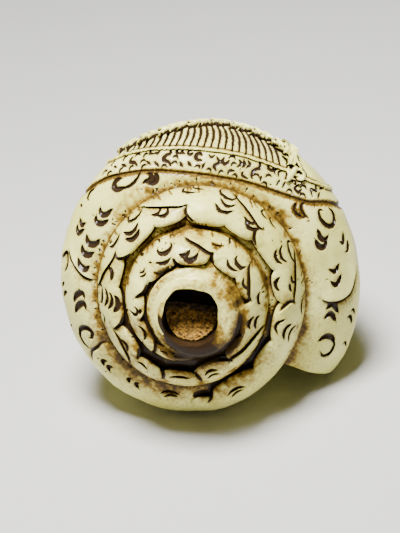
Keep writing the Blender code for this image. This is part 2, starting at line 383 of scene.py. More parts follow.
@dataclass(frozen=True)
class Line:
    """One line of the carving, on the unrolled skin.

    Attributes:
        path: Its points.
        half: Half its width at each point, in radians of the skin.
        depth: How deep or high it is, in metres.
        kind: What it does.
        ink_and_shade: How dark it is rubbed, 0 to 1; for a step or a cord it also sets the painted shade
            along its foot.
    """

    path: np.ndarray
    half: np.ndarray
    depth: float
    kind: Cut
    ink_and_shade: float

    def near(self, places: np.ndarray) -> tuple[np.ndarray, np.ndarray, np.ndarray]:
        """Measures places from the line.

        Args:
            places: Places on the skin.

        Returns:
            The signed distance, positive on the left, the half width there, and how far along.
        """
        best = np.full(len(places), 1e9)
        side, half, share = np.zeros(len(places)), np.full(len(places), 1e-6), np.zeros(len(places))
        count = len(self.path) - 1
        for k in range(count):
            a, b = self.path[k], self.path[k + 1]
            run = b - a
            rel = (places - a) * np.conj(run) / abs(run) ** 2
            t = np.clip(rel.real, 0, 1)
            apart = np.abs(places - (a + t * run))
            closer = apart < best
            best = np.where(closer, apart, best)
            side = np.where(closer, np.sign(rel.imag + 1e-12), side)
            half = np.where(closer, self.half[k] + t * (self.half[k + 1] - self.half[k]), half)
            share = np.where(closer, (k + t) / count, share)
        return best * side, half, share


@dataclass
class Carving:
    """The clouds, scrolls and flutes that the carver cut in the shell."""

    whorls: Whorls
    skin: Skin
    collar: Collar
    lines: list[Line] = field(default_factory=list)
    cloud_height: float = 0.0023
    step_wall: float = 0.26  # half the width of the step at a plate's rim, in mm
    shell_wall: float = 0.072
    # Brown patches: age, station, size in mm, strength
    patches: tuple[tuple[float, float, float, float], ...] = (
        (0.268, 0.03, 2.0, 0.5), (0.250, 0.03, 2.6, 0.7), (0.236, 0.05, 2.6, 0.75), (0.222, 0.09, 2.8, 0.8),
        (0.208, 0.12, 2.2, 0.6), (0.300, 0.03, 2.2, 0.35), (0.330, 0.02, 2.4, 0.35), (0.176, 0.05, 2.0, 0.4),
        (0.400, 0.10, 2.2, 0.45), (0.422, 0.15, 2.2, 0.5), (0.440, 0.19, 2.4, 0.55), (0.460, 0.20, 2.4, 0.5),
        (0.478, 0.13, 2.2, 0.55), (0.372, 0.05, 2.2, 0.45), (0.505, 0.06, 2.0, 0.4), (0.60, 0.05, 2.4, 0.45),
        (0.640, 0.08, 3.0, 0.55), (0.680, 0.08, 3.0, 0.55), (0.72, 0.09, 3.4, 0.6), (0.77, 0.09, 3.4, 0.6),
        (0.82, 0.10, 3.4, 0.55), (1.15, 0.83, 2.6, 0.5), (1.19, 0.80, 2.6, 0.55), (1.10, 0.72, 2.0, 0.4),
        (1.06, 0.66, 2.0, 0.4), (1.03, 0.80, 2.4, 0.45), (1.23, 0.88, 2.4, 0.5), (1.46, 0.66, 2.0, 0.5),
        (1.50, 0.70, 2.4, 0.5), (1.56, 0.66, 2.2, 0.5), (1.60, 0.62, 2.2, 0.5), (1.66, 0.72, 2.6, 0.55),
        (1.73, 0.66, 2.6, 0.6), (1.80, 0.66, 2.6, 0.6), (1.88, 0.66, 2.6, 0.55), (1.95, 0.72, 2.4, 0.5),
        (2.10, 0.76, 2.2, 0.5), (2.20, 0.78, 2.2, 0.5), (2.33, 0.72, 2.4, 0.6), (2.38, 0.78, 2.4, 0.6),
        (2.46, 0.82, 2.0, 0.6), (2.55, 0.80, 2.0, 0.55), (2.66, 0.76, 2.2, 0.55), (2.80, 0.76, 2.4, 0.6),
        (2.92, 0.76, 2.2, 0.55),
    )
    # Lobes of the cloud plates: first and last age, station of the top, and of the two feet
    lobes: tuple[tuple[float, float, float, float, float], ...] = (
        (0.855, 0.892, 0.28, 0.42, 0.36), (0.890, 0.978, 0.08, 0.34, 0.34),
        (0.972, 1.036, 0.13, 0.34, 0.30), (1.034, 1.106, 0.13, 0.28, 0.36),
        (1.104, 1.160, 0.14, 0.29, 0.31), (1.157, 1.238, 0.20, 0.31, 0.34),
        (1.226, 1.289, 0.15, 0.31, 0.25), (1.286, 1.364, 0.10, 0.25, 0.33),
        (1.362, 1.427, 0.19, 0.34, 0.32), (1.426, 1.520, 0.17, 0.31, 0.34),
        (1.514, 1.572, 0.17, 0.33, 0.20), (1.572, 1.654, 0.07, 0.21, 0.34),
        (1.650, 1.733, 0.12, 0.33, 0.34), (1.730, 1.796, 0.27, 0.36, 0.36),
        (1.794, 1.872, 0.24, 0.36, 0.34), (1.870, 1.968, 0.16, 0.32, 0.36),
        (1.962, 2.034, 0.18, 0.36, 0.37), (2.030, 2.130, 0.22, 0.37, 0.42),
        (2.126, 2.200, 0.25, 0.42, 0.36), (2.196, 2.292, 0.21, 0.36, 0.38),
        (2.290, 2.394, 0.05, 0.30, 0.24), (2.390, 2.506, 0.04, 0.24, 0.26),
        (2.500, 2.556, 0.15, 0.26, 0.24), (2.552, 2.632, 0.08, 0.24, 0.26),
        (2.628, 2.738, 0.13, 0.27, 0.36), (2.735, 2.806, 0.18, 0.34, 0.34),
        (2.804, 2.878, 0.18, 0.34, 0.34), (2.876, 2.950, 0.18, 0.34, 0.34),
        (2.948, 3.022, 0.18, 0.34, 0.34), (3.020, 3.100, 0.20, 0.34, 0.34),
    )

    def edge(self, age: np.ndarray) -> np.ndarray:
        """Gives the station of the plates' scalloped edge at ages.

        Args:
            age: The ages.

        Returns:
            The stations.
        """
        age = np.asarray(age, float)
        best = np.full(age.shape, 0.42)
        for first, last, top, left, right in self.lobes:
            across = 2 * (age - first) / (last - first) - 1
            foot = np.where(across < 0, left, right)
            arch = foot - (foot - top) * np.sqrt(np.clip(1 - across * across, 0, 1))
            best = np.where(np.abs(across) <= 1, np.minimum(best, arch), best)
        return best

    def plates(self, places: np.ndarray) -> np.ndarray:
        """Gives how far the cloud plates stand out, in metres.

        Args:
            places: Places on the skin.

        Returns:
            The heights, less than 0 in the recess.
        """
        age, station = places.real / (2 * math.pi), self.skin.station(places.imag)
        edge = self.edge(age)
        wall = 0.00022 / np.maximum(self.skin.radius(places), 0.01)
        away = self.skin.of_station(edge)
        above = np.clip((places.imag - away) / wall + 0.5, 0, 1)
        inward = np.maximum(places.imag - away, 0) * self.skin.radius(places) / MM
        rounded = 1 - 0.30 * np.exp(-inward / 0.5) - 0.25 * np.exp(-inward / 2.0)
        plate = above * rounded * (1 - fade(station, 0.3, 1.0)) - 0.62 * (1 - above)
        spread = fade(age, 0.84, 0.90) * (1 - fade(age, 3.0, 3.1))
        scale = np.clip(self.whorls.size(age) / float(self.whorls.size(1.2)), 0.3, 1.1) ** 0.7
        return self.cloud_height * spread * plate * scale * (station < 1)

    def from_plates(self, places: np.ndarray) -> np.ndarray:
        """Gives how far places in the recess are from the plates' edge, in metres.

        Args:
            places: Places on the skin.

        Returns:
            The distances.
        """
        radius = self.skin.radius(places)
        best = np.full(len(places), 1.0)
        for shift in np.linspace(-1.5, 1.5, 11) * MM:
            edge = self.skin.of_station(self.edge((places.real + shift / radius) / (2 * math.pi)))
            drop = np.maximum(edge - places.imag, 0.0) * radius
            best = np.minimum(best, np.hypot(drop, shift))
        return best

    def trace(
        self, spots: list[complex], width: float, depth: float,
        kind: Cut = Cut.GOUGE, ink_and_shade: float = 1.0, blunt: float = 0.0, gap: float = 0.6,
    ) -> None:
        """Adds a line through places.

        Args:
            spots: Ages, with stations as imaginary parts.
            width: Its widest, in mm.
            depth: Its depth or height, in mm.
            kind: What it does.
            ink_and_shade: How dark it is rubbed, and for a step or a cord how dark the painted shade along
                its foot is.
            blunt: How wide its ends are, over its widest.
            gap: The space between its points, in mm.
        """
        keys = self.skin.at(np.array(spots))
        self.lay(keys, width, depth, kind, ink_and_shade, blunt, gap)

    def lay(
        self, keys: np.ndarray, width: float, depth: float,
        kind: Cut, ink_and_shade: float, blunt: float, gap: float = 0.6,
    ) -> None:
        """Adds a line through places on the skin.

        Args:
            keys: The places.
            width: Its widest, in mm.
            depth: Its depth or height, in mm.
            kind: What it does.
            ink_and_shade: How dark it is rubbed, and for a step or a cord how dark the painted shade along
                its foot is.
            blunt: How wide its ends are, over its widest.
            gap: The space between its points, in mm.
        """
        fine = smooth_curve(list(keys), np.linspace(0, 1, 40 * len(keys)))
        run = np.concatenate([[0], np.cumsum(np.abs(np.diff(fine)))])
        radius = float(np.mean(self.skin.radius(fine)))
        count = max(int(run[-1] * radius / (gap * MM)), 4)
        share = np.linspace(0, 1, count + 1)
        path = np.interp(share * run[-1], run, fine.real) + 1j * np.interp(share * run[-1], run, fine.imag)
        swell = blunt + (1 - blunt) * np.clip(np.sin(math.pi * share), 0, 1) ** 0.6
        half = np.maximum(width * MM / 2 / radius * swell, 0.02 * MM / radius)
        path, half = self.inside(path, half)
        if len(path) > 2:
            self.lines.append(Line(path, half, depth * MM, kind, ink_and_shade))

    def inside(self, path: np.ndarray, half: np.ndarray) -> tuple[np.ndarray, np.ndarray]:
        """Keeps the part of a line that is clear of the skin's borders.

        Args:
            path: Its places.
            half: Half its width at each.

        Returns:
            The places and half widths that are left.
        """
        turn = path.real / (2 * math.pi)
        low = self.skin.of_station(0.03)
        high = np.where(turn > 0.995, self.skin.of_station(0.97), self.skin.of_station(2.9))
        keep = (path.imag > low) & (path.imag < high) & (turn > 0.008) & (turn < 3.4)
        return path[keep], half[keep]

    def raise_rub_and_shade(self, places: np.ndarray) -> tuple[np.ndarray, np.ndarray, np.ndarray]:
        """Works out the relief, the colour rubbed into it, and painted shade in its hollows and on the side
        turned down.

        Args:
            places: Places on the skin.

        Returns:
            The height in metres, the dark colour of pigment and painted shade from 0 to 1, and the brown dirt
            with painted shade from 0 to 1.
        """
        radius = self.skin.radius(places)
        high, low = np.zeros(len(places)), np.zeros(len(places))
        ink_and_shade, grime_and_shade = np.zeros(len(places)), np.zeros(len(places))
        rim, cord, shade = np.zeros(len(places)), np.zeros(len(places)), np.zeros(len(places))
        for line in self.lines:
            reach = (2.6 * MM if line.kind is not Cut.GOUGE else 0.5 * MM) / 0.012 + 2 * line.half.max()
            reach = min(reach, 0.25)
            close = np.flatnonzero(
                (places.real > line.path.real.min() - reach) & (places.real < line.path.real.max() + reach)
                & (places.imag > line.path.imag.min() - reach) & (places.imag < line.path.imag.max() + reach)
            )
            if not len(close):
                continue
            apart, half, share = line.near(places[close])
            mm = apart * radius[close]
            if line.kind is Cut.GOUGE:
                deep = np.clip(1 - np.abs(apart) / half, 0, 1)
                full = np.minimum(half * radius[close] * 1.6, line.depth)
                low[close] = np.minimum(low[close], -full * deep**0.8)
                ink_and_shade[close] = np.maximum(ink_and_shade[close], line.ink_and_shade * fade(deep, 0.0, 0.5))
                outside = np.maximum(np.abs(apart) - half, 0) * radius[close] / MM
                grime_and_shade[close] = np.maximum(grime_and_shade[close], 0.35 * line.ink_and_shade * np.exp(-outside / 0.35))
                if 0.35 < line.ink_and_shade < 0.6:
                    grime_and_shade[close] = np.maximum(grime_and_shade[close], 0.95 * np.exp(-outside / 0.25))
            elif line.kind is Cut.EDGE:
                ends = np.sqrt(np.clip(np.sin(math.pi * np.clip(share, 0.02, 0.98)), 0, 1))
                wall = self.step_wall * MM
                left = np.clip(mm / wall * 0.5 + 0.5, 0, 1)
                over = np.maximum(mm, 0) / MM
                up = line.depth * 0.6 * np.exp(-over / 2.6) * (1 - 0.4 * np.exp(-over / 0.4)) * left * ends
                down = line.depth * 0.8 * np.exp(-np.maximum(-mm, 0) / (1.3 * MM)) * (1 - left) * ends
                high[close] = np.maximum(high[close], up)
                low[close] = np.minimum(low[close], -down)
                # Pigment with painted shadow: the low side of the step is darkened, dark at its foot and
                # brown further out.
                dark = (1 - left) * ends * line.ink_and_shade
                beyond = np.maximum(-mm - 0.65 * MM, 0)
                ink_and_shade[close] = np.maximum(ink_and_shade[close], dark * np.exp(-beyond / (0.4 * MM)))
                grime_and_shade[close] = np.maximum(grime_and_shade[close], dark * np.exp(-np.maximum(-mm, 0) / (2.3 * MM)))
            else:
                body = np.sqrt(np.clip(1 - (apart / half) ** 2, 0, 1))
                high[close] = np.maximum(high[close], line.depth * body)
                # Brown beside the cord is painted shade; the darkest cords also get a dark line in the crease
                # at their foot.
                beside = np.abs(np.abs(apart) - half) * radius[close] / MM
                shade[close] = np.maximum(shade[close], 0.85 * line.ink_and_shade * np.exp(-beside / 0.4))
                cord[close] = np.maximum(cord[close], body)
                if line.ink_and_shade > 0.9:
                    dark = np.clip((line.ink_and_shade - 0.9) * 10, 0, 1)
                    rim[close] = np.maximum(rim[close], 0.95 * dark * np.exp(-((beside / 0.32) ** 2)))
        age, station = places.real / (2 * math.pi), self.skin.station(places.imag)
        height = high + low + self.plates(places)
        height = np.maximum(height, -0.58 * self.shell_wall * self.whorls.size(age))
        ink_and_shade = np.maximum(ink_and_shade, rim * (1 - fade(cord, 0.25, 0.55)))
        grime_and_shade = np.maximum(grime_and_shade, shade * (1 - fade(cord, 0.35, 0.8)))
        # Pigment and brown in the recess at the foot of the plates' edge; the band widens on the side turned
        # down, where it is painted shade.
        recess = (station < self.edge(age)) & (station < 0.6) & (age > 0.86) & (age < 3.08)
        spots = np.flatnonzero(recess)
        apart = self.from_plates(places[spots]) / MM
        at = self.whorls.place(self.whorls.outline(age[spots], station[spots]), age[spots])
        reach = 0.75 + 0.3 * waves(at, 51, 0.006) + 0.15 * waves(at, 52, 0.0015)
        reach = reach + 1.9 * self.under(age[spots])
        ink_and_shade[spots] = np.maximum(ink_and_shade[spots], 0.95 * (1 - fade(apart / reach, 0.45, 1.0)))
        grime_and_shade[spots] = np.maximum(grime_and_shade[spots], 0.85 * (1 - fade(apart / reach, 0.7, 2.2)))
        ink_and_shade = np.maximum(ink_and_shade, self.seam_ink_and_shade(places, age, station))
        return height, ink_and_shade, np.maximum(grime_and_shade, self.patina_and_shade(places))

    def under(self, age: np.ndarray) -> np.ndarray:
        """Gives 1 on the side that the shell turns down as it is held, and 0 on the upper side: the weight of
        the painted shade on the side away from the light above.
        """
        return fade(-np.sin(self.whorls.lip_turn + 2 * math.pi * age), -0.1, 0.8)

    def seam_ink_and_shade(self, places: np.ndarray, age: np.ndarray, station: np.ndarray) -> np.ndarray:
        """Works out the dark line in the sutures of the spire: pigment in the crease with painted shade,
        heavier and wider on the side turned down.

        Args:
            places: Places on the skin.
            age: Their ages.
            station: Their stations.

        Returns:
            The dark colour, pigment and painted shade, from 0 to 1.
        """
        radius = self.skin.radius(places)
        low = places.imag * radius / MM
        high = np.where(age > 1, (self.skin.of_station(1.0) - places.imag) * radius / MM, 9.0)
        at = self.whorls.place(self.whorls.outline(age, station), age)
        broken = 0.75 + 0.35 * waves(at, 61, 0.008) + 0.3 * waves(at, 62, 0.0021)
        # Painted shade: the line is wider and darker on the side turned down.
        near = np.exp(-((np.minimum(low, np.abs(high)) / (0.35 + 0.7 * self.under(age))) ** 2))
        shown = np.where((station < 1) & (age < 4.2), 1.0, 0.0) * fade(age, 0.05, 0.15)
        return np.clip(near * broken * shown * (0.45 + 0.55 * self.under(age)), 0, 1)

    def patina_and_shade(self, places: np.ndarray) -> np.ndarray:
        """Gives the brown that has settled in the sutures, the recesses, the flanks and about the collar,
        with painted shade added on the side turned down, 0 to 1.

        Args:
            places: Places on the skin.

        Returns:
            The brown and painted shade at each.
        """
        age, station = places.real / (2 * math.pi), self.skin.station(places.imag)
        at = self.whorls.place(self.whorls.outline(age, station), age)
        radius = self.skin.radius(places)
        broad, fine = waves(at, 21, 0.011), waves(at, 22, 0.0032)
        spire = age > 1
        drop = (self.skin.of_station(self.edge(age)) - places.imag) * radius
        recess = np.clip(drop / (0.3 * MM) + 0.5, 0, 1)
        recess = recess * fade(age, 0.84, 0.90) * (station < 0.6)
        low = places.imag * radius
        high = np.where(spire, (self.skin.of_station(1.0) - places.imag) * radius, 1.0)
        suture = (1.05 + 0.3 * broad) * np.exp(-low / (0.8 * MM))
        under = self.under(age)
        # Painted shade: the brown band beside the suture is stronger and wider on the side turned down.
        suture = suture + (0.50 + 0.60 * under + 0.28 * broad) * np.exp(-low / ((3.2 + 3.6 * under) * MM))
        suture = suture + (0.85 + 0.3 * broad) * np.exp(-np.maximum(high, 0) / (1.0 * MM))
        # The flanks' brown, with painted shade added on the side turned down.
        flank = np.where(spire, (0.28 + 0.5 * under + 0.2 * broad) * fade(station, 0.55, 0.95), 0.0)
        reach = self.collar.reach(at)
        about = np.where(age > 1.5, 0.85 * (1 - fade(reach, 1.04, 1.30)), 0.0)
        patch = np.zeros(len(places))
        for spot_age, spot_station, spread, strength in self.patches:
            spot = complex(self.skin.at(np.array([complex(spot_age, spot_station)]))[0])
            apart = np.abs(places - spot) * radius / (spread * MM)
            patch = np.maximum(patch, strength * np.exp(-(apart**2)))
        # The recess's brown is heavier on the side turned down: painted shade.
        settled = np.maximum((0.5 + 0.3 * under + 0.2 * broad) * recess, suture) + flank + about
        settled = settled + patch * (0.85 + 0.5 * fine)
        return np.clip(settled * (0.85 + 0.3 * fine) + 0.05 * (broad + 0.6), 0, 1)


@dataclass
class Grid:
    """The mesh of the skin, before it is raised.

    Attributes:
        places: Places on the skin.
        faces: Triples of indices into them.
    """

    places: np.ndarray
    faces: np.ndarray


@dataclass
class ConchShell:
    """The carved shell: its outside, its chamber, its canal and its blown mouth."""

    whorls: Whorls = field(default_factory=Whorls)
    collar: Collar = field(default_factory=Collar)
    face_step: float = 0.62  # mm between the mesh's points on the carved face
    belly_step: float = 1.0
    neck_step: float = 1.4
    wall: float = 0.072
    callus: float = 0.014
    canal_wall: float = 0.050
    canal_age: float = 0.161
    folds: tuple[float, ...] = (1.86, 1.72, 1.58)
    fold_height: float = 0.026
    mouth_radius: float = 0.0092
    mouth_offset: tuple[float, float, float] = (0.0014, 0.0, -0.0010)
    mouth_square: float = 2.5  # the hole is a little squarer than round: the power of its outline
    mouth_sink: float = 0.12
    mouth_depth: float = 0.0125
    mouth_slant: float = 0.0045
    chamber_start: float = 3.52
    chamber_foot: complex = 0.20 + 2.06j  # its lowest point, over the whorl's radius

    def __post_init__(self) -> None:
        """Unrolls the skin and sets the carver to work on it."""
        self.skin = Skin(self.whorls)
        self.carving = Carving(self.whorls, self.skin, self.collar)
        Carver(self.carving).carve()

    def step_at(self, station: float) -> float:
        """Gives the mesh's spacing at a station, in metres."""
        step = self.face_step + (self.belly_step - self.face_step) * fade(station, 1.0, 1.35)
        return float(step + (self.neck_step - self.belly_step) * fade(station, 1.9, 2.3)) * MM

    def lattice(self) -> list[complex]:
        """Lays staggered rows of points over the skin, away from its borders.

        Returns:
            Their places on the skin.
        """
        points: list[complex] = []
        last = self.whorls.start_age
        for ring in range(5):
            far = 3.0 if ring == 0 else 1.0
            along, j = 0.0, 0
            mean = float(self.whorls.size(ring + 0.45)) / float(self.whorls.size(0.35))
            while True:
                station = float(self.skin.station(along))
                radius = float(self.skin.radius(np.array([2 * math.pi * 0.35 + 1j * along]))[0]) * mean
                if ring >= 3:
                    radius *= 0.55
                gap = self.step_at(station) / radius
                along += 0.866 * gap
                j += 1
                if along > self.skin.of_station(far) - 0.5 * gap:
                    break
                start = ring + (0.5 * gap / 2 / math.pi if ring == 0 else 0)
                stop = min(ring + 1, last - 0.02)
                count = int((stop - start) * 2 * math.pi / gap)
                if count < 2:
                    continue
                turns = start * 2 * math.pi + (np.arange(count) + 0.5 * (j % 2)) * gap
                if ring == 0:
                    turns = turns[turns < 2 * math.pi - (0.45 * gap if station > 0.98 else 0)]
                if ring >= 3:
                    width = 1 - fade(turns / (2 * math.pi), last - 1.0, last)
                    turns = turns[(width > 0.5) | (j % 2 == 0) & (width > 0.2) | (j % 4 == 0)]
                points += [complex(t, along) for t in turns]
        return points

    def chains(self) -> list[np.ndarray]:
        """Gives the skin's borders: both edges of the strip, the lip, the column and the tip.

        Returns:
            Lines of places on the skin.
        """
        last = self.whorls.start_age
        ages = [0.0]
        while ages[-1] < last:
            radius = float(self.whorls.size(min(ages[-1] + 1, last)))
            ages.append(ages[-1] + self.face_step * MM / radius / (2 * math.pi))
        lower = np.array([a for a in ages if a < last - 0.01] + [last])
        upper = lower[lower <= last - 1] + 1
        zero, one, tip = (float(self.skin.of_station(s)) for s in (0.0, 1.0, 3.0))
        chains = [2 * math.pi * lower + 1j * zero, 2 * math.pi * np.append(upper, last) + 1j * one]
        rows = [1.0]
        while rows[-1] < 3.0:
            radius = float(self.skin.radius(np.array([0.5 + 1j * self.skin.of_station(rows[-1])]))[0])
            along = float(self.skin.of_station(rows[-1])) + self.step_at(rows[-1]) / radius
            rows.append(float(self.skin.station(along)) if along < tip - 0.02 else 3.0)
        side = 1j * self.skin.of_station(np.array(rows))
        face = [0.0]
        while face[-1] < 1.0:
            along = float(self.skin.of_station(face[-1])) + self.face_step * MM / 0.045
            face.append(float(self.skin.station(along)) if along < one - 0.008 else 1.0)
        chains += [side, 2 * math.pi + side, 1j * self.skin.of_station(np.array(face))]
        around = int(2 * math.pi * 0.011 / (self.neck_step * MM)) * 2
        chains.append(np.linspace(0, 2 * math.pi, around) + 1j * tip)
        return chains

    def collar_chains(self) -> list[np.ndarray]:
        """Gives the foot of the collar as lines on the skin, whorl by whorl.

        Returns:
            Lines of places on the skin.
        """
        chains = []
        for reach in (0.985, 1.012):
            turn = np.linspace(0, 2 * math.pi, 260, endpoint=False)
            x = self.collar.offset[0] + self.collar.radius * reach * np.cos(turn)
            z = (self.collar.offset[1] / self.whorls.tall) + self.collar.radius * reach * np.sin(turn)
            radius = np.hypot(x, z)
            base = (np.arctan2(z, x) - self.whorls.lip_turn) / (2 * math.pi) % 1.0
            for ring in range(2, 5):
                run: list[complex] = []
                stations = np.linspace(0, 1, 201)
                for k in range(len(turn) + 1):
                    i = k % len(turn)
                    age = base[i] + ring
                    ok = age < 4.4
                    if ok:
                        line = self.whorls.outline(np.full(201, age), stations).real
                        ok = line[0] < radius[i] < line[-1]
                        spot = float(np.interp(radius[i], line, stations))
                        ok = ok and 0.08 < spot < 0.92
                    if ok and run and abs(age - run[-1].real) < 0.1:
                        run.append(complex(age, spot))
                    else:
                        if len(run) > 2:
                            chains.append(self.skin.at(np.array(run)))
                        run = [complex(age, spot)] if ok else []
                if len(run) > 2:
                    chains.append(self.skin.at(np.array(run)))
        return chains

    def drawn(self) -> list[np.ndarray]:
        """Gives every line of the carving that the mesh has to follow.

        Returns:
            Lines of places on the skin.
        """
        out = []
        for line in self.carving.lines:
            along = np.gradient(line.path)
            across = 1j * along / np.maximum(np.abs(along), 1e-12)
            radius = float(np.mean(self.skin.radius(line.path)))
            if line.kind is Cut.GOUGE:
                out.append(line.path)
                if line.half.max() * radius > 0.12 * MM and line.ink_and_shade > 0.6:
                    out += [line.path + across * line.half, line.path - across * line.half]
            elif line.kind is Cut.EDGE:
                off = self.carving.step_wall * MM / radius
                out += [line.path + across * off, line.path - across * off]
            else:
                out += [line.path, line.path + across * line.half, line.path - across * line.half]
        for first, last in ((0.86, 1.98), (2.0, 3.08)):
            count = int((last - first) * 2 * math.pi * float(self.whorls.size(first + 0.8)) / (0.5 * MM))
            ages = np.linspace(first, last, count)
            edge = self.skin.of_station(self.carving.edge(ages))
            wall = 0.00013 / self.skin.radius(2 * math.pi * ages + 1j * edge)
            out += [2 * math.pi * ages + 1j * (edge - wall), 2 * math.pi * ages + 1j * (edge + wall)]
        return [chain[self.clear(chain)] for chain in out if np.count_nonzero(self.clear(chain)) > 1]

    def clear(self, chain: np.ndarray) -> np.ndarray:
        """Says which points of a line are clear of the skin's borders.

        Args:
            chain: The line.

        Returns:
            True for each point that is.
        """
        turn = chain.real / (2 * math.pi)
        low, high = self.skin.of_station(0.02), self.skin.of_station(0.98)
        top = np.where(turn > 0.996, high, self.skin.of_station(2.95))
        return (chain.imag > low) & (chain.imag < top) & (turn > 0.004) & (turn < 3.6)

    def grid(self) -> Grid:
        """Triangulates the skin with the borders and the carving in it.

        Returns:
            The mesh.
        """
        borders, drawn = self.chains(), self.drawn() + self.collar_chains()
        fixed = np.concatenate(borders + drawn)
        tree = kdtree.KDTree(len(fixed))
        for k, spot in enumerate(fixed):
            tree.insert((spot.real, spot.imag, 0), k)
        tree.balance()
        lattice = np.array(self.lattice())
        radius = self.skin.radius(lattice)
        reach = np.array([self.step_at(s) for s in self.skin.station(lattice.imag)]) / radius
        free = [s for s, r in zip(lattice, reach) if tree.find((s.real, s.imag, 0))[2] > 0.5 * r]
        points = list(fixed) + free
        edges, start = [], 0
        for chain in borders + drawn:
            edges += [(start + k, start + k + 1) for k in range(len(chain) - 1)]
            start += len(chain)
        made = delaunay_2d_cdt([Vector((p.real, p.imag)) for p in points], edges, [], 0, 1e-6)
        places = np.array([complex(v.x, v.y) for v in made[0]])
        faces = np.array(made[2])
        middle = places[faces].mean(axis=1)
        one = float(self.skin.of_station(1.0))
        faces = faces[(middle.real < 2 * math.pi) | (middle.imag < one)]
        return Grid(places, faces)

    def raised(self, places: np.ndarray) -> tuple[np.ndarray, np.ndarray, np.ndarray]:
        """Brings the skin to its place in space.

        Args:
            places: Places on the skin.

        Returns:
            Points in the axis's frame, the dark colour and the brown dirt, both with painted shade.
        """
        age, station = places.real / (2 * math.pi), self.skin.station(places.imag)
        point = self.whorls.outline(age, station)
        normal = self.whorls.outward(age, station)
        height, ink_and_shade, grime_and_shade = self.carving.raise_rub_and_shade(places)
        away = fade(self.collar.reach(self.whorls.place(point, age)), 1.05, 1.25)
        lean = np.where(age < 1, fade(station, 0.55, 0.95), 0.0)
        steep = np.maximum(-normal.imag, 0.4)
        way = (1 - lean) * (-1j / steep) + lean * normal
        edge = np.minimum(station, np.where(age < 1, 1.0, 1 - station)) / 0.03
        calm = np.clip(edge, 0, 1) * np.clip(age / 0.01, 0, 1)
        rough = self.whorls.place(point, age)
        uneven = (0.16 * waves(rough, 31, 0.013) + 0.05 * waves(rough, 32, 0.0045) - 0.22 * (age < 1)) * MM
        height = height + uneven * (1 - fade(station, 2.2, 2.9))
        point = point - normal * self.whorls.turned_in(age, station)
        point, turned = self.whorls.flared(point, age, station)
        at = self.whorls.place(point + way * height * away * calm, turned)
        # The ring about the mouth takes its brown, its dark and its painted shade from the collar.
        stain_and_shade, ring = self.collar.stain_and_shade(at), (age > 1.5) & (away < 1)
        soiled_and_shaded = np.where(ring, np.maximum(stain_and_shade, grime_and_shade * away), grime_and_shade)
        ink_and_shade = np.where(ring, np.maximum(ink_and_shade * away, self.collar.black(stain_and_shade) * (1 - away)), ink_and_shade * away)
        return np.where((age > 1.5)[:, None], self.collar.dress(at), at), ink_and_shade, soiled_and_shaded

    def outside(self) -> tuple[bpy.types.Object, np.ndarray, np.ndarray, np.ndarray]:
        """Builds the closed outside.

        Returns:
            The object, its points, and their dark colour and brown dirt, both with painted shade.
        """
        grid = self.grid()
        at, ink_and_shade, grime_and_shade = self.raised(grid.places)
        two_pi, one, tip = 2 * math.pi, float(self.skin.of_station(1.0)), float(self.skin.of_station(3.0))
        x, y = grid.places.real, grid.places.imag
        lower = np.flatnonzero(np.abs(y) < 1e-5)
        lower = lower[np.argsort(x[lower])]
        upper = np.flatnonzero((np.abs(y - one) < 1e-5) & (x > two_pi - 1e-5))
        same = np.arange(len(x))
        found = np.clip(np.searchsorted(x[lower], x[upper] - two_pi - 1e-4), 0, len(lower) - 1)
        match = np.abs(x[lower][found] - (x[upper] - two_pi)) < 2e-4
        same[upper[match]] = lower[found[match]]
        end = float(x.max())
        closing = np.flatnonzero(np.abs(x - end) < 1e-5)
        same[closing] = same[closing[0]]
        faces = same[grid.faces]
        lone = (faces[:, 0] != faces[:, 1]) & (faces[:, 1] != faces[:, 2]) & (faces[:, 0] != faces[:, 2])
        faces = faces[lone]
        mesh = bmesh.new()
        used = np.unique(faces)
        verts = {int(k): mesh.verts.new(at[k]) for k in used}
        for a, b, c in faces:
            mesh.faces.new((verts[int(a)], verts[int(b)], verts[int(c)]))
        rim = [int(k) for k in lower if x[k] > end - two_pi - 1e-4]
        rim = list(dict.fromkeys(int(same[k]) for k in rim))
        self.close_mouth(mesh, [verts[k] for k in rim])
        lip = np.flatnonzero((np.abs(x) < 1e-6) & (y > one - 1e-6))
        column = np.flatnonzero((np.abs(x - two_pi) < 1e-6) & (y > one - 1e-6))
        lip, column = lip[np.argsort(-y[lip])], column[np.argsort(y[column])]
        ends = np.flatnonzero(np.abs(y - tip) < 1e-6)
        ends = ends[np.argsort(x[ends])]
        face = np.flatnonzero((np.abs(x) < 1e-6) & (y < one + 1e-6))
        face = face[np.argsort(-y[face])]
        loop = [int(same[k]) for k in column] + [int(k) for k in lip] + [int(same[k]) for k in face[1:-1]]
        mesh.faces.new([verts[k] for k in dict.fromkeys(loop)])
        mesh.faces.new([verts[int(k)] for k in ends])
        return self.solid(mesh, "shell_outside"), at, ink_and_shade, grime_and_shade

    def close_mouth(self, mesh: bmesh.types.BMesh, rim: list) -> None:
        """Carries the collar's crown from the first whorl's rim to inside the mouth hole.

        Args:
            mesh: The mesh to add to.
            rim: The rim's vertices, in order.
        """
        middle = np.array(self.mouth_offset)
        rings = [rim]
        for share in (0.25, 0.5, 0.75, 1.0):
            ring = []
            for vertex in rim:
                turn = math.atan2(vertex.co.z / self.whorls.tall, vertex.co.x)
                hole = np.array((math.cos(turn), 0, math.sin(turn) * self.whorls.tall))
                at = np.array(vertex.co) * (1 - share) + (middle + hole * self.mouth_radius * 0.93) * share
                at[1] = self.collar.top + 0.001
                ring.append(mesh.verts.new(self.collar.dress(at[None])[0]))
            rings.append(ring)
        for outer, inner in zip(rings, rings[1:]):
            for i in range(len(rim)):
                k = (i + 1) % len(rim)
                mesh.faces.new([outer[i], outer[k], inner[k], inner[i]])
        mesh.faces.new(rings[-1])

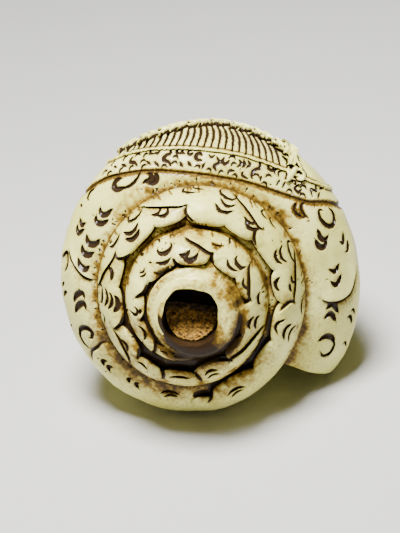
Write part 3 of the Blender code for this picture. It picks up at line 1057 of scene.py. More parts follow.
    @staticmethod
    def solid(mesh: bmesh.types.BMesh, name: str) -> bpy.types.Object:
        """Makes an object of a bmesh with its normals outward.

        Args:
            mesh: The bmesh, which is freed.
            name: The object's name.

        Returns:
            The object.
        """
        bmesh.ops.triangulate(mesh, faces=mesh.faces)
        bmesh.ops.recalc_face_normals(mesh, faces=mesh.faces)
        data = bpy.data.meshes.new(name)
        mesh.to_mesh(data)
        mesh.free()
        made = bpy.data.objects.new(name, data)
        bpy.context.scene.collection.objects.link(made)
        return made

    def swept(self, sections: list[np.ndarray], name: str) -> bpy.types.Object:
        """Builds a closed solid.

        Args:
            sections: Outlines of as many points, an even number of them in each.
            name: The solid's name.

        Returns:
            The object.
        """
        mesh = bmesh.new()
        rings = [[mesh.verts.new(point) for point in section] for section in sections]
        count = len(rings[0])
        for before, after in zip(rings, rings[1:]):
            for j in range(count):
                k = (j + 1) % count
                mesh.faces.new([before[j], before[k], after[k], after[j]])
        for ring in (rings[0], rings[-1]):
            for j in range(count // 2 - 1):
                mesh.faces.new([ring[j], ring[j + 1], ring[count - 2 - j], ring[count - 1 - j]])
        return self.solid(mesh, name)

    def chamber(self) -> bpy.types.Object:
        """Builds the space that the animal lived in, from outside the lip to the mouth.

        Returns:
            The cutter.
        """
        whorls = self.whorls
        outer = np.array([
            0.22, 0.33, 0.45, 0.58, 0.72, 0.86, 1.0, 1.12, 1.25, 1.37, 1.5, 1.62, 1.75, 1.85, 1.95,
        ])
        inner = np.arange(200, 115, -7) / 100
        wall = whorls.outline(0, outer) - whorls.outward(0, outer) * self.wall * whorls.lip_radius
        thick = whorls.outward(0, inner) * self.callus * whorls.growth * whorls.lip_radius
        column = whorls.outline(0, inner) + thick
        fold = sum(np.maximum(1 - np.abs(inner - s) / 0.08, 0) for s in self.folds) * self.fold_height
        close, wide = 35, 104  # how many sections by the lip, and further in
        ages = [-0.034 + 0.01525 * k for k in range(close)]
        step = (self.chamber_start - ages[-1]) / wide
        ages += [ages[-1] + step * (k + 1) for k in range(wide)]
        sections = []
        for age in ages:
            here, next_one = float(whorls.size(age)), float(whorls.size(age + 1))
            sunk = self.mouth_sink * float(fade(age, *whorls.slow_until)) * np.maximum(1 - outer, 0.0)
            out = (wall / whorls.lip_radius + 1j * sunk) * here
            back = column * next_one / whorls.lip_radius + fold * here
            line = np.concatenate([out, [self.chamber_foot * here], back])
            line = np.append(line, (line[-1] + line[0]) / 2)
            sections.append(whorls.place(line, np.full(len(line), age)))
        return self.swept(sections, "chamber_cutter")

    def canal_sides(self, height: float) -> tuple[float, float]:
        """Gives the canal's inner and outer distance from the axis, over the lip radius.

        Args:
            height: How far along the axis, over the lip radius.

        Returns:
            Both distances.
        """
        fine = 1 + np.arange(201) / 100
        lip = self.whorls.outline(0.0, fine) / self.whorls.lip_radius
        column = self.whorls.outline(1.0, fine) / self.whorls.lip_radius
        wall = self.wall * 1.1 + (self.canal_wall - self.wall * 1.1) * float(fade(height, 2.0, 2.8))
        high = float(np.interp(height, lip.imag, lip.real)) - wall
        low = float(np.interp(height, column.imag, column.real)) + self.callus
        return low, high

    def canal(self) -> bpy.types.Object:
        """Builds the open groove from the chamber to the canal's tip.

        Returns:
            The cutter.
        """
        sections = []
        for k in range(13):
            age = -0.037 + (self.canal_age + 0.037) * k / 12
            reach = 0.35 + 0.65 * math.sqrt(1 - min(max(age / self.canal_age, 0.0), 1.0) ** 2)
            outer, inner = [], []
            for height in (1.5, 1.62, 1.75, 1.9, 2.05, 2.2, 2.35, 2.52, 2.7, 2.9, 3.1):
                low, high = self.canal_sides(height)
                half = (high - low) / 2 * reach * (0.3 + 0.7 * float(fade(height, 1.5, 2.05)))
                outer.append(complex((low + high) / 2 + half, height))
                inner.append(complex((low + high) / 2 - half, height))
            line = np.array(outer + inner[::-1]) * self.whorls.lip_radius
            sections.append(self.whorls.place(line, np.full(len(line), age)))
        return self.swept(sections, "canal_cutter")

    def cup(self) -> bpy.types.Object:
        """Builds the mouth hole, whose floor slants down towards its upper side.

        Returns:
            The cutter.
        """
        middle = np.array(self.mouth_offset) + (0, self.collar.top, 0)
        rings: list[list] = []
        for share in (-0.3, 0.03, 0.09, 0.18, 0.35, 0.6, 1.0):
            ring = []
            for angle in np.linspace(0, 2 * math.pi, 96, endpoint=False):
                x, z = self.hole_edge(angle)
                deep = share * (self.mouth_depth + self.mouth_slant * math.sin(angle))
                uneven = 0.00012 * math.sin(5 * angle + 9 * share)
                uneven += 0.0001 * math.sin(11 * angle - 14 * share)
                if share < 0.02:
                    uneven = 0.0
                drawn_in = 1 - uneven / 0.009  # over about the hole's radius
                ring.append(middle + (x * drawn_in, deep, z * drawn_in))
            rings.append(ring)
        return self.swept(rings, "cup_cutter")

    def hole_edge(self, angle: float) -> tuple[float, float]:
        """Gives the hole's edge from its middle in a direction, across and up.

        Args:
            angle: The direction, in radians.

        Returns:
            Both distances, in metres.
        """
        c, s, power = math.cos(angle), math.sin(angle), self.mouth_square
        reach = self.mouth_radius * 0.975 / (abs(c) ** power + abs(s) ** power) ** (1 / power)
        return c * reach, s * reach * self.whorls.tall

    def build(self) -> bpy.types.Object:
        """Builds, hollows and dresses the shell, and stands it in for its node.

        Returns:
            The shell.
        """
        made, at, ink_and_shade, grime_and_shade = self.outside()
        LOG.info("outside: %d faces", len(made.data.polygons))
        cutters = [self.chamber(), self.canal(), self.cup()]
        for cutter in cutters:
            modifier = made.modifiers.new(cutter.name, "BOOLEAN")
            modifier.operation, modifier.object = "DIFFERENCE", cutter
        graph = bpy.context.evaluated_depsgraph_get()
        hollow = bpy.data.meshes.new_from_object(made.evaluated_get(graph))
        shell = bpy.data.objects.new("carved_shell", hollow)
        bpy.context.scene.collection.objects.link(shell)
        for gone in [made, *cutters]:
            bpy.data.objects.remove(gone)
        self.colour(hollow, at, ink_and_shade, grime_and_shade)
        hollow.transform(self.whorls.resting())
        hollow.shade_smooth()
        hollow.set_sharp_from_angle(angle=math.radians(38))
        hollow.materials.clear()
        hollow.materials.append(PolishedShell().make())
        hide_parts("conch_shell")
        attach(shell, "root")
        LOG.info("carved_shell: %d faces", len(hollow.polygons))
        return shell

    def in_cup(self, at: np.ndarray) -> np.ndarray:
        """Gives how dark the mouth's wall and floor are, 0 at the rim and 1 from a little below: brown dirt
        with painted shade that deepens down the hole, sooner on its lower side.

        Args:
            at: Points in the axis's frame, one to a row.

        Returns:
            The brown and painted shade at each.
        """
        x = at[:, 0] - self.mouth_offset[0]
        z = (at[:, 2] - self.mouth_offset[2]) / self.whorls.tall
        near = np.hypot(x, z) < self.mouth_radius * 1.13
        deep = (at[:, 1] - self.collar.top) / MM
        under = fade(-z / np.maximum(np.hypot(x, z), 1e-6), -0.2, 0.7)
        return np.where(near & (deep < 19) & (deep > 0.02), 0.4 + 0.6 * fade(deep + 4 * under, 0.0, 3.2), 0.0)

    def colour(self, mesh: bpy.types.Mesh, at: np.ndarray, ink_and_shade: np.ndarray, grime_and_shade: np.ndarray) -> None:
        """Carries the rubbed colours and the painted shade on to the hollowed mesh as attributes, and paints
        shade down the mouth hole.

        Args:
            mesh: The hollowed mesh.
            at: The vertices of the outside before it was hollowed.
            ink_and_shade: Their pigment and painted shade.
            grime_and_shade: Their brown dirt and painted shade.
        """
        tree = kdtree.KDTree(len(at))
        for k, spot in enumerate(at):
            tree.insert(spot, k)
        tree.balance()
        values = np.zeros((2, len(mesh.vertices)))
        spots = np.array([vertex.co for vertex in mesh.vertices])
        stain_and_shade, cup = self.collar.stain_and_shade(spots), self.in_cup(spots)
        crown = (self.collar.reach(spots) < 0.99) & (spots[:, 1] < self.collar.top + 0.0002)
        for vertex in mesh.vertices:
            _, k, apart = tree.find(vertex.co)
            if crown[vertex.index] or cup[vertex.index] > 0:
                soiled_and_shaded = max(stain_and_shade[vertex.index] * crown[vertex.index], cup[vertex.index])
                # Painted shade: the mouth's wall darkens down the hole, over the collar's stains and painted
                # shade.
                dark = max(0.9 * fade(cup[vertex.index], 0.5, 1.0), self.collar.black(soiled_and_shaded))
                values[:, vertex.index] = dark, soiled_and_shaded
            elif apart < 1e-5:
                values[:, vertex.index] = ink_and_shade[k], grime_and_shade[k]
        for name, value in zip(("ink_and_shade", "grime_and_shade"), values):
            mesh.attributes.new(name, "FLOAT", "POINT").data.foreach_set("value", value)


@dataclass
class Carver:
    """The one who lays out the lines, from the lip round to the mouth."""

    carving: Carving
    striae_seed: int = 11

    def carve(self) -> None:
        """Lays out all of the carving."""
        self.body()
        self.middle_whorl()
        self.inner_whorl()
        self.striae()
        self.suture_ticks()
        self.pits()
        Panel(self.carving).carve()

    def cuts(self, ring: int, strokes: list[tuple[float, list[complex]]], ink_and_shade: float = 1.0) -> None:
        """Cuts thumbnail marks and scrolls.

        Args:
            ring: The whorl whose start the ages are counted from.
            strokes: The width of each in mm, and its places, in thousandths.
            ink_and_shade: How dark they are rubbed.
        """
        wide, blunt = (0.98, 0.12) if ring == 0 else (0.84, 0.05)
        for width, spots in strokes:
            places = [ring + spot for spot in whole(spots)]
            self.carving.trace(places, wide * width, 0.85, Cut.GOUGE, ink_and_shade, blunt)

    def edges(self, ring: int, lines: list[tuple[float, list[complex]]]) -> None:
        """Cuts the rims where one plate lies over the next.

        Args:
            ring: The whorl whose start the ages are counted from.
            lines: The step of each in mm, and its places in thousandths. The upper plate is
                on the left.
        """
        deep = 1.5 if ring == 0 else 1.2
        for step, spots in lines:
            self.carving.trace([ring + spot for spot in whole(spots)], 1.0, deep * step, Cut.EDGE)

    def body(self) -> None:
        """Cuts the scrolls and marks of the body whorl."""
        self.cuts(0, [
            (2.9, [42+295j, 49+360j, 48.5+440j, 42+500j]),
            (1.8, [46+480j, 38+515j, 29+500j, 25.5+430j, 30+375j]), (2.6, [69.5+295j, 76.5+360j, 67+445j]),
            (2.6, [81+300j, 87.5+370j, 77+460j]), (2.4, [114+345j, 108.5+410j, 118+495j]),
            (2.2, [128+340j, 123+410j, 130+485j]), (1.4, [40.5+655j, 42+690j, 37+760j]),
            (1.8, [70.5+600j, 71+660j, 63+720j]), (1.5, [76.5+655j, 78+700j, 73+770j]),
            (1.9, [138+605j, 138.5+660j, 148+720j]), (1.9, [151+565j, 147.5+615j, 157+680j]),
            (2.8, [167+300j, 156.5+310j, 154+365j, 158+415j]),
            (2.6, [176+370j, 164.5+360j, 160.5+405j, 163+460j]),
            (2.3, [188+550j, 191+500j, 183+462j, 173.5+485j, 169+550j, 172+620j, 180+660j, 187+635j]),
            (2.8, [420.5+205j, 409.5+200j, 405.5+250j, 408+300j]),
            (2.6, [427.5+262j, 417+250j, 412.5+285j, 417+330j]),
            (1.7, [424+390j, 430+340j, 440+312j, 450+325j, 457+355j]),
            (2.7, [449+325j, 460+370j, 463.5+430j, 457.5+475j, 449+445j]),
            (2.5, [479+250j, 492+270j, 497+330j, 492+395j]),
            (2.5, [493.5+200j, 505+250j, 509+330j, 502.5+375j]),
            (2.8, [523.5+165j, 534+205j, 538.5+300j, 530.5+375j]),
            (2.8, [544.5+175j, 552+240j, 553.5+330j, 545+385j]),
            (2.8, [565+200j, 572.5+250j, 570.5+340j, 562.5+395j]),
            (2.2, [519.5+455j, 526.5+500j, 522+595j]), (2.3, [527+430j, 537+510j, 530+595j]),
            (1.5, [485+655j, 493+695j, 499.5+660j, 499+610j]), (1.4, [510+665j, 511.5+710j, 511+760j]),
            (2.6, [616+265j, 607.5+290j, 611+380j, 622+465j]),
            (2.8, [632+270j, 622+290j, 625.5+380j, 636+475j]), (1.5, [601+655j, 604+710j, 608.5+775j]),
            (1.8, [612+585j, 613.5+660j, 620+745j]), (1.2, [653+685j, 656+780j]),
            (2.6, [672+400j, 672.5+345j, 666+300j, 658.5+340j, 656.5+420j, 660+500j, 668+555j]),
            (1.8, [660+500j, 668+560j, 678+560j, 687+500j]), (2.3, [712.5+335j, 709+400j, 715.5+465j]),
            (2.3, [724.5+335j, 720.5+400j, 727+465j]), (2.0, [757+275j, 753+315j, 757.5+370j]),
            (2.1, [770+265j, 766.5+315j, 773.5+370j]), (1.8, [807+300j, 814+235j, 825+215j, 837+250j]),
            (1.5, [813.5+350j, 822+285j, 836+285j]), (1.7, [917+370j, 924.5+325j, 936+325j, 947+385j]),
            (1.4, [920+440j, 930+390j, 942+410j]),
        ])
        self.cuts(0, [
            (2.0, [196.5+300j, 203.5+265j, 212+285j, 215.5+345j]),
            (1.9, [192+345j, 200+322j, 207.5+350j, 208.5+405j]),
        ], 0.55)
        self.edges(0, [
            (1.2, [120+790j, 107+700j, 97+620j, 92.5+520j, 90.5+400j, 91.5+300j, 96+235j]),
            (1.3, [583+70j, 583.5+180j, 581+300j, 575+400j, 569+500j, 558+620j]),
            (0.9, [591+670j, 586+600j, 578+560j, 569+580j, 563+640j, 571+760j, 575+900j]),
            (1.2, [708+660j, 699+560j, 692+450j, 690+330j, 686+220j, 689+110j]),
            (0.9, [893+200j, 888+300j, 880+420j]),
        ])

    def middle_whorl(self) -> None:
        """Cuts the plates of the whorl before the body's."""
        self.cuts(1, [
            (2.0, [49+300j, 59+232j, 69+250j, 77+370j]), (2.2, [43+445j, 53+390j, 64+420j, 68.5+510j]),
            (1.6, [40+560j, 50+505j, 60+530j, 65+630j]), (1.4, [78+760j, 88+705j, 99+740j, 101+830j]),
            (2.4, [123.5+280j, 131+225j, 141+240j, 148+340j]), (2.0, [117+490j, 122.5+460j, 133+465j]),
            (2.0, [129+580j, 132+520j, 143+525j]), (2.0, [163.5+455j, 173+388j, 183+400j, 190+490j]),
            (2.0, [162+550j, 171+485j, 182+510j, 188.5+630j]),
            (1.9, [153+700j, 163+665j, 177+700j, 184+790j, 177+930j]),
            (2.4, [236+460j, 240.5+395j, 250+385j, 258+440j]),
            (2.0, [243.5+540j, 245.5+470j, 254.5+455j, 264.5+500j]),
            (2.3, [282+510j, 290.5+435j, 304+420j, 315.5+540j]),
            (1.9, [282+630j, 289.5+550j, 300+545j, 310+660j]),
            (1.9, [284.5+770j, 290+690j, 300+680j, 312+780j, 310+930j]),
            (1.3, [211+725j, 220+720j, 226.5+770j, 226+870j]),
            (1.4, [229+735j, 237+730j, 243+790j, 240.5+950j]),
            (1.7, [346+725j, 357+710j, 369+770j, 365.5+950j]),
            (1.5, [334+800j, 346+800j, 354+880j, 353.5+970j]),
            (2.3, [395.5+500j, 395.5+420j, 403+380j, 416+425j]),
            (2.0, [408+560j, 409+490j, 416.5+455j, 427+505j]),
            (2.8, [452.5+420j, 461+360j, 475+355j, 486+480j]),
            (2.4, [451+530j, 460+460j, 473+465j, 484+610j]),
            (1.9, [437+770j, 443+665j, 455+630j, 467.5+700j, 464.5+850j, 465.5+960j]),
            (2.0, [489+670j, 499+610j, 512+625j, 520.5+740j]), (1.2, [508+710j, 515+780j, 518+880j]),
            (2.9, [547.5+510j, 545.5+430j, 552+375j, 565+375j]),
            (3.0, [587+280j, 595+215j, 610+205j, 624+320j]),
            (2.2, [584+385j, 592+330j, 605+325j, 618+430j]),
            (2.2, [580+510j, 588.5+440j, 602+430j, 615+520j]),
            (2.0, [584+720j, 582.5+620j, 594+570j, 609+600j, 611.5+710j]),
            (1.3, [629+630j, 638+600j, 649+690j]), (2.0, [679+380j, 689+340j, 700+350j, 710+420j]),
            (1.6, [736+430j, 748+395j, 766+440j]), (1.5, [812+410j, 835+360j, 862+390j]),
            (1.6, [895+400j, 912+330j, 932+400j]), (1.3, [898+500j, 914+440j, 930+500j]),
        ])
        self.edges(1, [
            (1.3, [88+260j, 97+360j, 101.5+450j, 97+540j]),
            (1.2, [94+565j, 105+535j, 120+585j, 140+660j, 155+750j, 165+850j, 170+960j]),
            (1.3, [213+240j, 226+320j, 232.5+420j, 227.5+500j]),
            (1.2, [221+555j, 234+515j, 250+580j, 270+690j, 284+790j, 293+880j, 298+970j]),
            (1.3, [344+190j, 354+270j, 361+360j, 359.5+470j]),
            (1.3, [356+505j, 372+480j, 392+530j, 410+600j, 425+700j, 435+800j, 445+930j, 448+970j]),
            (1.3, [494+220j, 509+300j, 517.5+400j, 512.5+510j]),
            (1.3, [511+540j, 523+490j, 540+530j, 560+630j, 575+700j, 585+800j, 592+950j]),
            (1.3, [630+130j, 644+240j, 652+350j, 655+450j]),
            (1.0, [656+480j, 672+440j, 690+450j, 715+520j, 728+660j, 733+850j]),
            (1.2, [715+200j, 726+300j, 730+400j]), (1.0, [785+300j, 797+400j, 800+550j]),
            (1.0, [870+280j, 878+400j, 884+550j]), (1.3, [943+240j, 958+310j, 965+390j]),
            (1.2, [955+420j, 975+410j, 1000+490j, 1030+570j, 1050+680j, 1060+800j, 1064+920j]),
        ])

    def inner_whorl(self) -> None:
        """Cuts the plates of the whorl about the collar."""
        self.cuts(2, [
            (1.9, [56+440j, 65+385j, 80+395j, 91+470j]), (1.7, [57+560j, 68+505j, 84+520j, 89+610j]),
            (1.8, [111+630j, 115+570j, 130+580j, 138.5+660j]),
            (1.5, [154+440j, 164+380j, 176+380j, 188+460j]),
            (1.6, [207+440j, 219+375j, 235+370j, 250+460j]),
            (2.1, [200+620j, 207+510j, 220+495j, 232+560j, 231+650j]),
            (2.5, [325+370j, 330+260j, 345+200j, 360+220j, 371+290j]),
            (2.3, [347+410j, 355+325j, 367+290j, 382+350j]),
            (1.8, [403+330j, 415+280j, 435+290j, 453+390j]),
            (2.2, [400+630j, 397.5+530j, 409+445j, 425+455j, 435.5+540j, 433+630j]),
            (1.2, [487+390j, 496+360j, 505+390j, 514+460j]), (1.2, [484+470j, 495+430j, 506+510j]),
            (1.1, [459+420j, 469+490j]), (1.7, [596+250j, 605+215j, 618+250j]),
            (1.8, [594+420j, 600+325j, 612+305j, 618.5+380j, 614+500j, 608+610j]),
            (1.9, [651+410j, 663+310j, 680+285j, 695+370j, 701+500j]),
            (1.6, [260+700j, 263+840j, 266+970j]), (1.1, [132+700j, 132+810j]),
            (1.4, [425+700j, 428+850j, 433+970j]), (1.7, [475+700j, 480+850j, 490+970j]),
            (1.1, [610+630j, 618+800j, 625+950j]), (1.1, [705+620j, 712+900j]),
        ])
        self.cuts(2, [
            (1.5, [271+640j, 280+575j, 290+560j, 298+610j]),
            (2.8, [419+170j, 430+80j, 449+60j, 464+150j, 468.5+250j]),
        ], 0.5)
        self.edges(2, [
            (1.2, [110+240j, 122+320j, 126+420j]),
            (1.1, [121+460j, 135+430j, 150+460j, 170+530j, 186+610j, 195+710j, 197+860j]),
            (1.2, [270+260j, 281+330j, 286+420j]),
            (1.0, [281+450j, 296+420j, 312+455j, 332+525j, 352+600j, 368+720j]),
            (1.1, [375+100j, 388+180j, 397+320j]), (1.1, [487+50j, 499+120j, 508+220j]),
            (1.0, [512+250j, 527+225j, 543+250j, 557+330j, 570+410j]),
            (1.1, [615+120j, 627+200j, 634+300j]),
            (1.2, [718+200j, 732+320j, 740+460j, 744+680j, 746+900j]),
        ])
        for k in range(4):
            age = 775 + 72 * k
            self.cuts(2, [(1.4, [age - 16 + 400j, age + 330j, age + 18 + 410j])])
            self.edges(2, [(1.0, [age + 26 + 240j, age + 36 + 360j, age + 40 + 500j])])

    def striae(self) -> None:
        """Scratches fine lines of growth down the flanks of the spire."""
        rng = np.random.default_rng(self.striae_seed)
        for ring, count in ((1, 78), (2, 56)):
            for k in range(count):
                age = ring + (k + rng.uniform(0.1, 0.9)) / count
                low = rng.uniform(0.70, 0.86)
                lean = rng.uniform(0.001, 0.006)
                middle = complex(age + lean, (low + 0.97) / 2)
                spots = [complex(age, low), middle, complex(age + 1.4 * lean, 0.965)]
                width, ink_and_shade = rng.uniform(0.5, 0.9), rng.uniform(0.15, 0.55)
                self.carving.trace(spots, width, 0.2, Cut.GOUGE, ink_and_shade, gap=1.1)

    def suture_ticks(self) -> None:
        """Cuts the short ticks and pricks beside the body whorl's suture."""
        rng = np.random.default_rng(5)
        for age in (0.350, 0.416, 0.468, 0.494, 0.523, 0.530, 0.538, 0.545, 0.556, 0.566, 0.577,
                    0.618, 0.630, 0.665, 0.195, 0.222, 0.236, 0.277):
            start = rng.uniform(0.04, 0.08)
            end = complex(age + rng.uniform(-0.001, 0.001), start + rng.uniform(0.04, 0.07))
            self.carving.trace([complex(age, start), end], 1.1, 0.4, Cut.GOUGE, 0.9, 0.3)

    def pits(self) -> None:
        """Pricks the small dark pits that lie along the sutures and on the plates."""
        rng = np.random.default_rng(23)
        for low_age, high_age, count in ((0.10, 1.0, 70), (1.0, 2.0, 70), (2.0, 3.0, 45)):
            for _ in range(count):
                age = rng.uniform(low_age, high_age)
                station = rng.choice((rng.uniform(0.04, 0.14), rng.uniform(0.35, 0.93)), p=(0.6, 0.4))
                if age < 1:
                    station = rng.choice((rng.uniform(0.03, 0.10), rng.uniform(0.1, 0.7)), p=(0.7, 0.3))
                run = complex(rng.uniform(-0.0008, 0.0012), rng.uniform(0.004, 0.012))
                spot = complex(age, station)
                self.carving.trace([spot, spot + run], rng.uniform(0.6, 1.2), 0.3, Cut.GOUGE, 0.9, 0.7, 0.3)


@dataclass
class Panel:
    """The framed panel on the shell's back: a groove, a scrolled band, flutes, a rope and a lotus."""

    carving: Carving
    pitch: float = 2.35  # of the flutes, in mm
    flute: float = 1.45  # their width, in mm
    lotus_scale: float = 1.25
    body_radius: float = 0.048  # of the whorl under the panel, in metres
    # Rounded keys of the closed frames, as ages and stations, from the side by the lip
    groove: tuple[complex, ...] = (
        0.180 + 0.90j, 0.186 + 0.76j, 0.194 + 0.61j, 0.202 + 0.48j, 0.216 + 0.38j, 0.240 + 0.28j,
        0.270 + 0.21j, 0.300 + 0.165j, 0.325 + 0.15j, 0.350 + 0.175j, 0.375 + 0.225j, 0.400 + 0.30j,
        0.425 + 0.385j, 0.450 + 0.50j, 0.470 + 0.63j, 0.490 + 0.77j, 0.501 + 0.93j, 0.506 + 1.15j,
        0.500 + 1.40j, 0.480 + 1.68j, 0.440 + 1.95j, 0.390 + 2.12j, 0.335 + 2.18j, 0.285 + 2.12j,
        0.235 + 1.95j, 0.198 + 1.68j, 0.180 + 1.40j, 0.175 + 1.15j,
    )
    rope: tuple[complex, ...] = (
        0.244 + 0.70j, 0.252 + 0.79j, 0.263 + 0.87j, 0.278 + 0.935j, 0.296 + 0.975j, 0.315 + 1.01j,
        0.335 + 1.03j, 0.355 + 1.01j, 0.375 + 0.955j, 0.395 + 0.93j, 0.414 + 0.95j, 0.430 + 1.01j,
        0.440 + 1.12j, 0.442 + 1.26j, 0.434 + 1.43j, 0.414 + 1.60j, 0.385 + 1.74j, 0.350 + 1.80j,
        0.318 + 1.77j, 0.290 + 1.68j, 0.268 + 1.52j, 0.257 + 1.32j, 0.255 + 1.14j, 0.255 + 1.00j,
        0.251 + 0.88j, 0.246 + 0.78j,
    )
    middle: complex = 0.347 + 1.38j
    # The ridge: four rounded quarters about its middle
    ridge_middle: complex = 0.33 + 1.15j
    ridge_wide: float = 0.134  # half its width, in ages
    ridge_reach: tuple[float, float] = (0.69, 0.85)  # towards the spire and the canal, in stations
    ridge_square: tuple[float, float, float, float] = (2.5, 1.8, 2.2, 2.1)  # of each quarter, in its order

    def ridge(self, count: int = 28) -> tuple[complex, ...]:
        """Works out the ridge's keys.

        Args:
            count: How many keys to give.

        Returns:
            Ages with stations as imaginary parts, from the side by the lip.
        """
        keys = []
        for k in range(count):
            turn = 2 * math.pi * (k / count + 1 / 16)
            across, up = -math.cos(turn), -math.sin(turn)
            quarter = (0 if across < 0 else 1) if up < 0 else (2 if across > 0 else 3)
            power = 2 / self.ridge_square[quarter]
            reach = self.ridge_reach[0 if up < 0 else 1]
            across = math.copysign(abs(across) ** power, across)
            up = math.copysign(abs(up) ** power, up)
            keys.append(self.ridge_middle + self.ridge_wide * across + 1j * reach * up)
        return tuple(keys)

    def loop(self, keys: tuple[complex, ...], count: int) -> np.ndarray:
        """Reads a closed frame.

        Args:
            keys: Its keys, as ages and stations.
            count: How many places to give, evenly along it.

        Returns:
            The places on the skin, the first one repeated at the end.
        """
        turned = self.carving.skin.at(np.array([*keys[-3:], *keys, *keys[:3]]))
        whole = smooth_curve(list(turned), np.linspace(0, 1, 60 * len(turned)))
        n = len(turned) - 1
        kept = whole[int(len(whole) * 3 / n) : int(len(whole) * (3 + len(keys)) / n) + 1]
        run = np.concatenate([[0], np.cumsum(np.abs(np.diff(kept)))])
        share = np.linspace(0, run[-1], count + 1)
        return np.interp(share, run, kept.real) + 1j * np.interp(share, run, kept.imag)

    def carve(self) -> None:
        """Cuts the panel."""
        lay = self.carving.lay
        groove, ridge, rope = (self.loop(keys, 240) for keys in (self.groove, self.ridge(), self.rope))
        for start in range(0, 240, 60):
            lay(groove[start : start + 61 : 4], 1.7, 0.8, Cut.GOUGE, 0.4, 1.0, 0.7)
            lay(ridge[start : start + 61 : 4], 1.5, 0.8, Cut.RIDGE, 0.95, 1.0, 0.7)
            lay(rope[start : start + 61 : 4], 1.5, 0.8, Cut.RIDGE, 0.95, 1.0, 0.8)
        self.flutes(ridge, rope)
        self.band(groove, ridge)
        self.leaves(rope)
        self.knob()
        self.lotus()

    def knob(self) -> None:
        """Raises the scrolled knob that ties the garland's tail on the lip's side."""
        trace = self.carving.trace
        stem = [0.240 + 1j * station for station in np.linspace(0.47, 0.67, 4)]
        curl = self.bow(0.2335 + 0.63j, 0.0062 + 0.065j, -25, 235, 6)
        petal = self.bow(0.2325 + 0.55j, 0.0058 + 0.040j, -40, -165, 3)
        leaf = [0.2475 + 0.62j - k * (0.0025 + 0.045j) for k in range(3)]
        trace(stem, 2.6, 1.5, Cut.RIDGE, 1.0, 0.7)
        trace(curl, 1.8, 1.4, Cut.RIDGE, 1.0, 0.8)
        trace(petal, 1.6, 1.1, Cut.RIDGE, 1.0, 0.6)
        trace(leaf, 1.5, 1.1, Cut.RIDGE, 1.0, 0.6)

    @staticmethod
    def bow(middle: complex, size: complex, first: float, last: float, count: int) -> list[complex]:
        """Gives places along part of an ellipse.

        Args:
            middle: Its middle, as an age and a station.
            size: Its half width in ages, and its half height in stations.
            first: Where it starts, in degrees.
            last: Where it ends, in degrees.
            count: How many places to give.

        Returns:
            Ages with stations as imaginary parts.
        """
        turns = np.radians(np.linspace(first, last, count))
        return [middle + size.real * math.cos(turn) + 1j * size.imag * math.sin(turn) for turn in turns]

    def flutes(self, ridge: np.ndarray, rope: np.ndarray) -> None:
        """Cuts the fringe of furrows between the ridge and the rope.

        Args:
            ridge: The ridge's places on the skin.
            rope: The rope's places.
        """
        radii = self.carving.skin.radius(ridge)
        gone = np.concatenate([[0], np.cumsum(np.abs(np.diff(ridge)) * (radii[1:] + radii[:-1]) / 2)])
        count = int(gone[-1] / (self.pitch * MM))
        centre = complex(self.carving.skin.at(np.array([self.middle]))[0])
        last = self.carving.skin.of_station(1.62)
        for k in range(count):
            at = (k + 0.5) / count * gone[-1]
            start = complex(np.interp(at, gone, ridge.real), np.interp(at, gone, ridge.imag))
            if start.real < 2 * math.pi * 0.250 or start.imag > last:
                continue
            radius = float(self.carving.skin.radius(np.array([start]))[0])
            way = (centre - start) / abs(centre - start)
            steps = start + way * np.arange(0.2, 20, 0.2) * MM / radius
            apart = np.min(np.abs(steps[:, None] - rope[None, :]), axis=1) * radius / MM
            met = np.flatnonzero(apart < 2.1)
            if not len(met) or met[0] < 10:
                continue
            run = steps[met[0]] - start
            bow = 0.07j * run * math.sin(2 * math.pi * k / count)
            keys = np.array([start + way * 0.9 * MM / radius, start + 0.5 * run + bow, start + run])
            self.carving.lay(keys, self.flute, 0.55, Cut.GOUGE, 1.0, 0.55, 0.8)

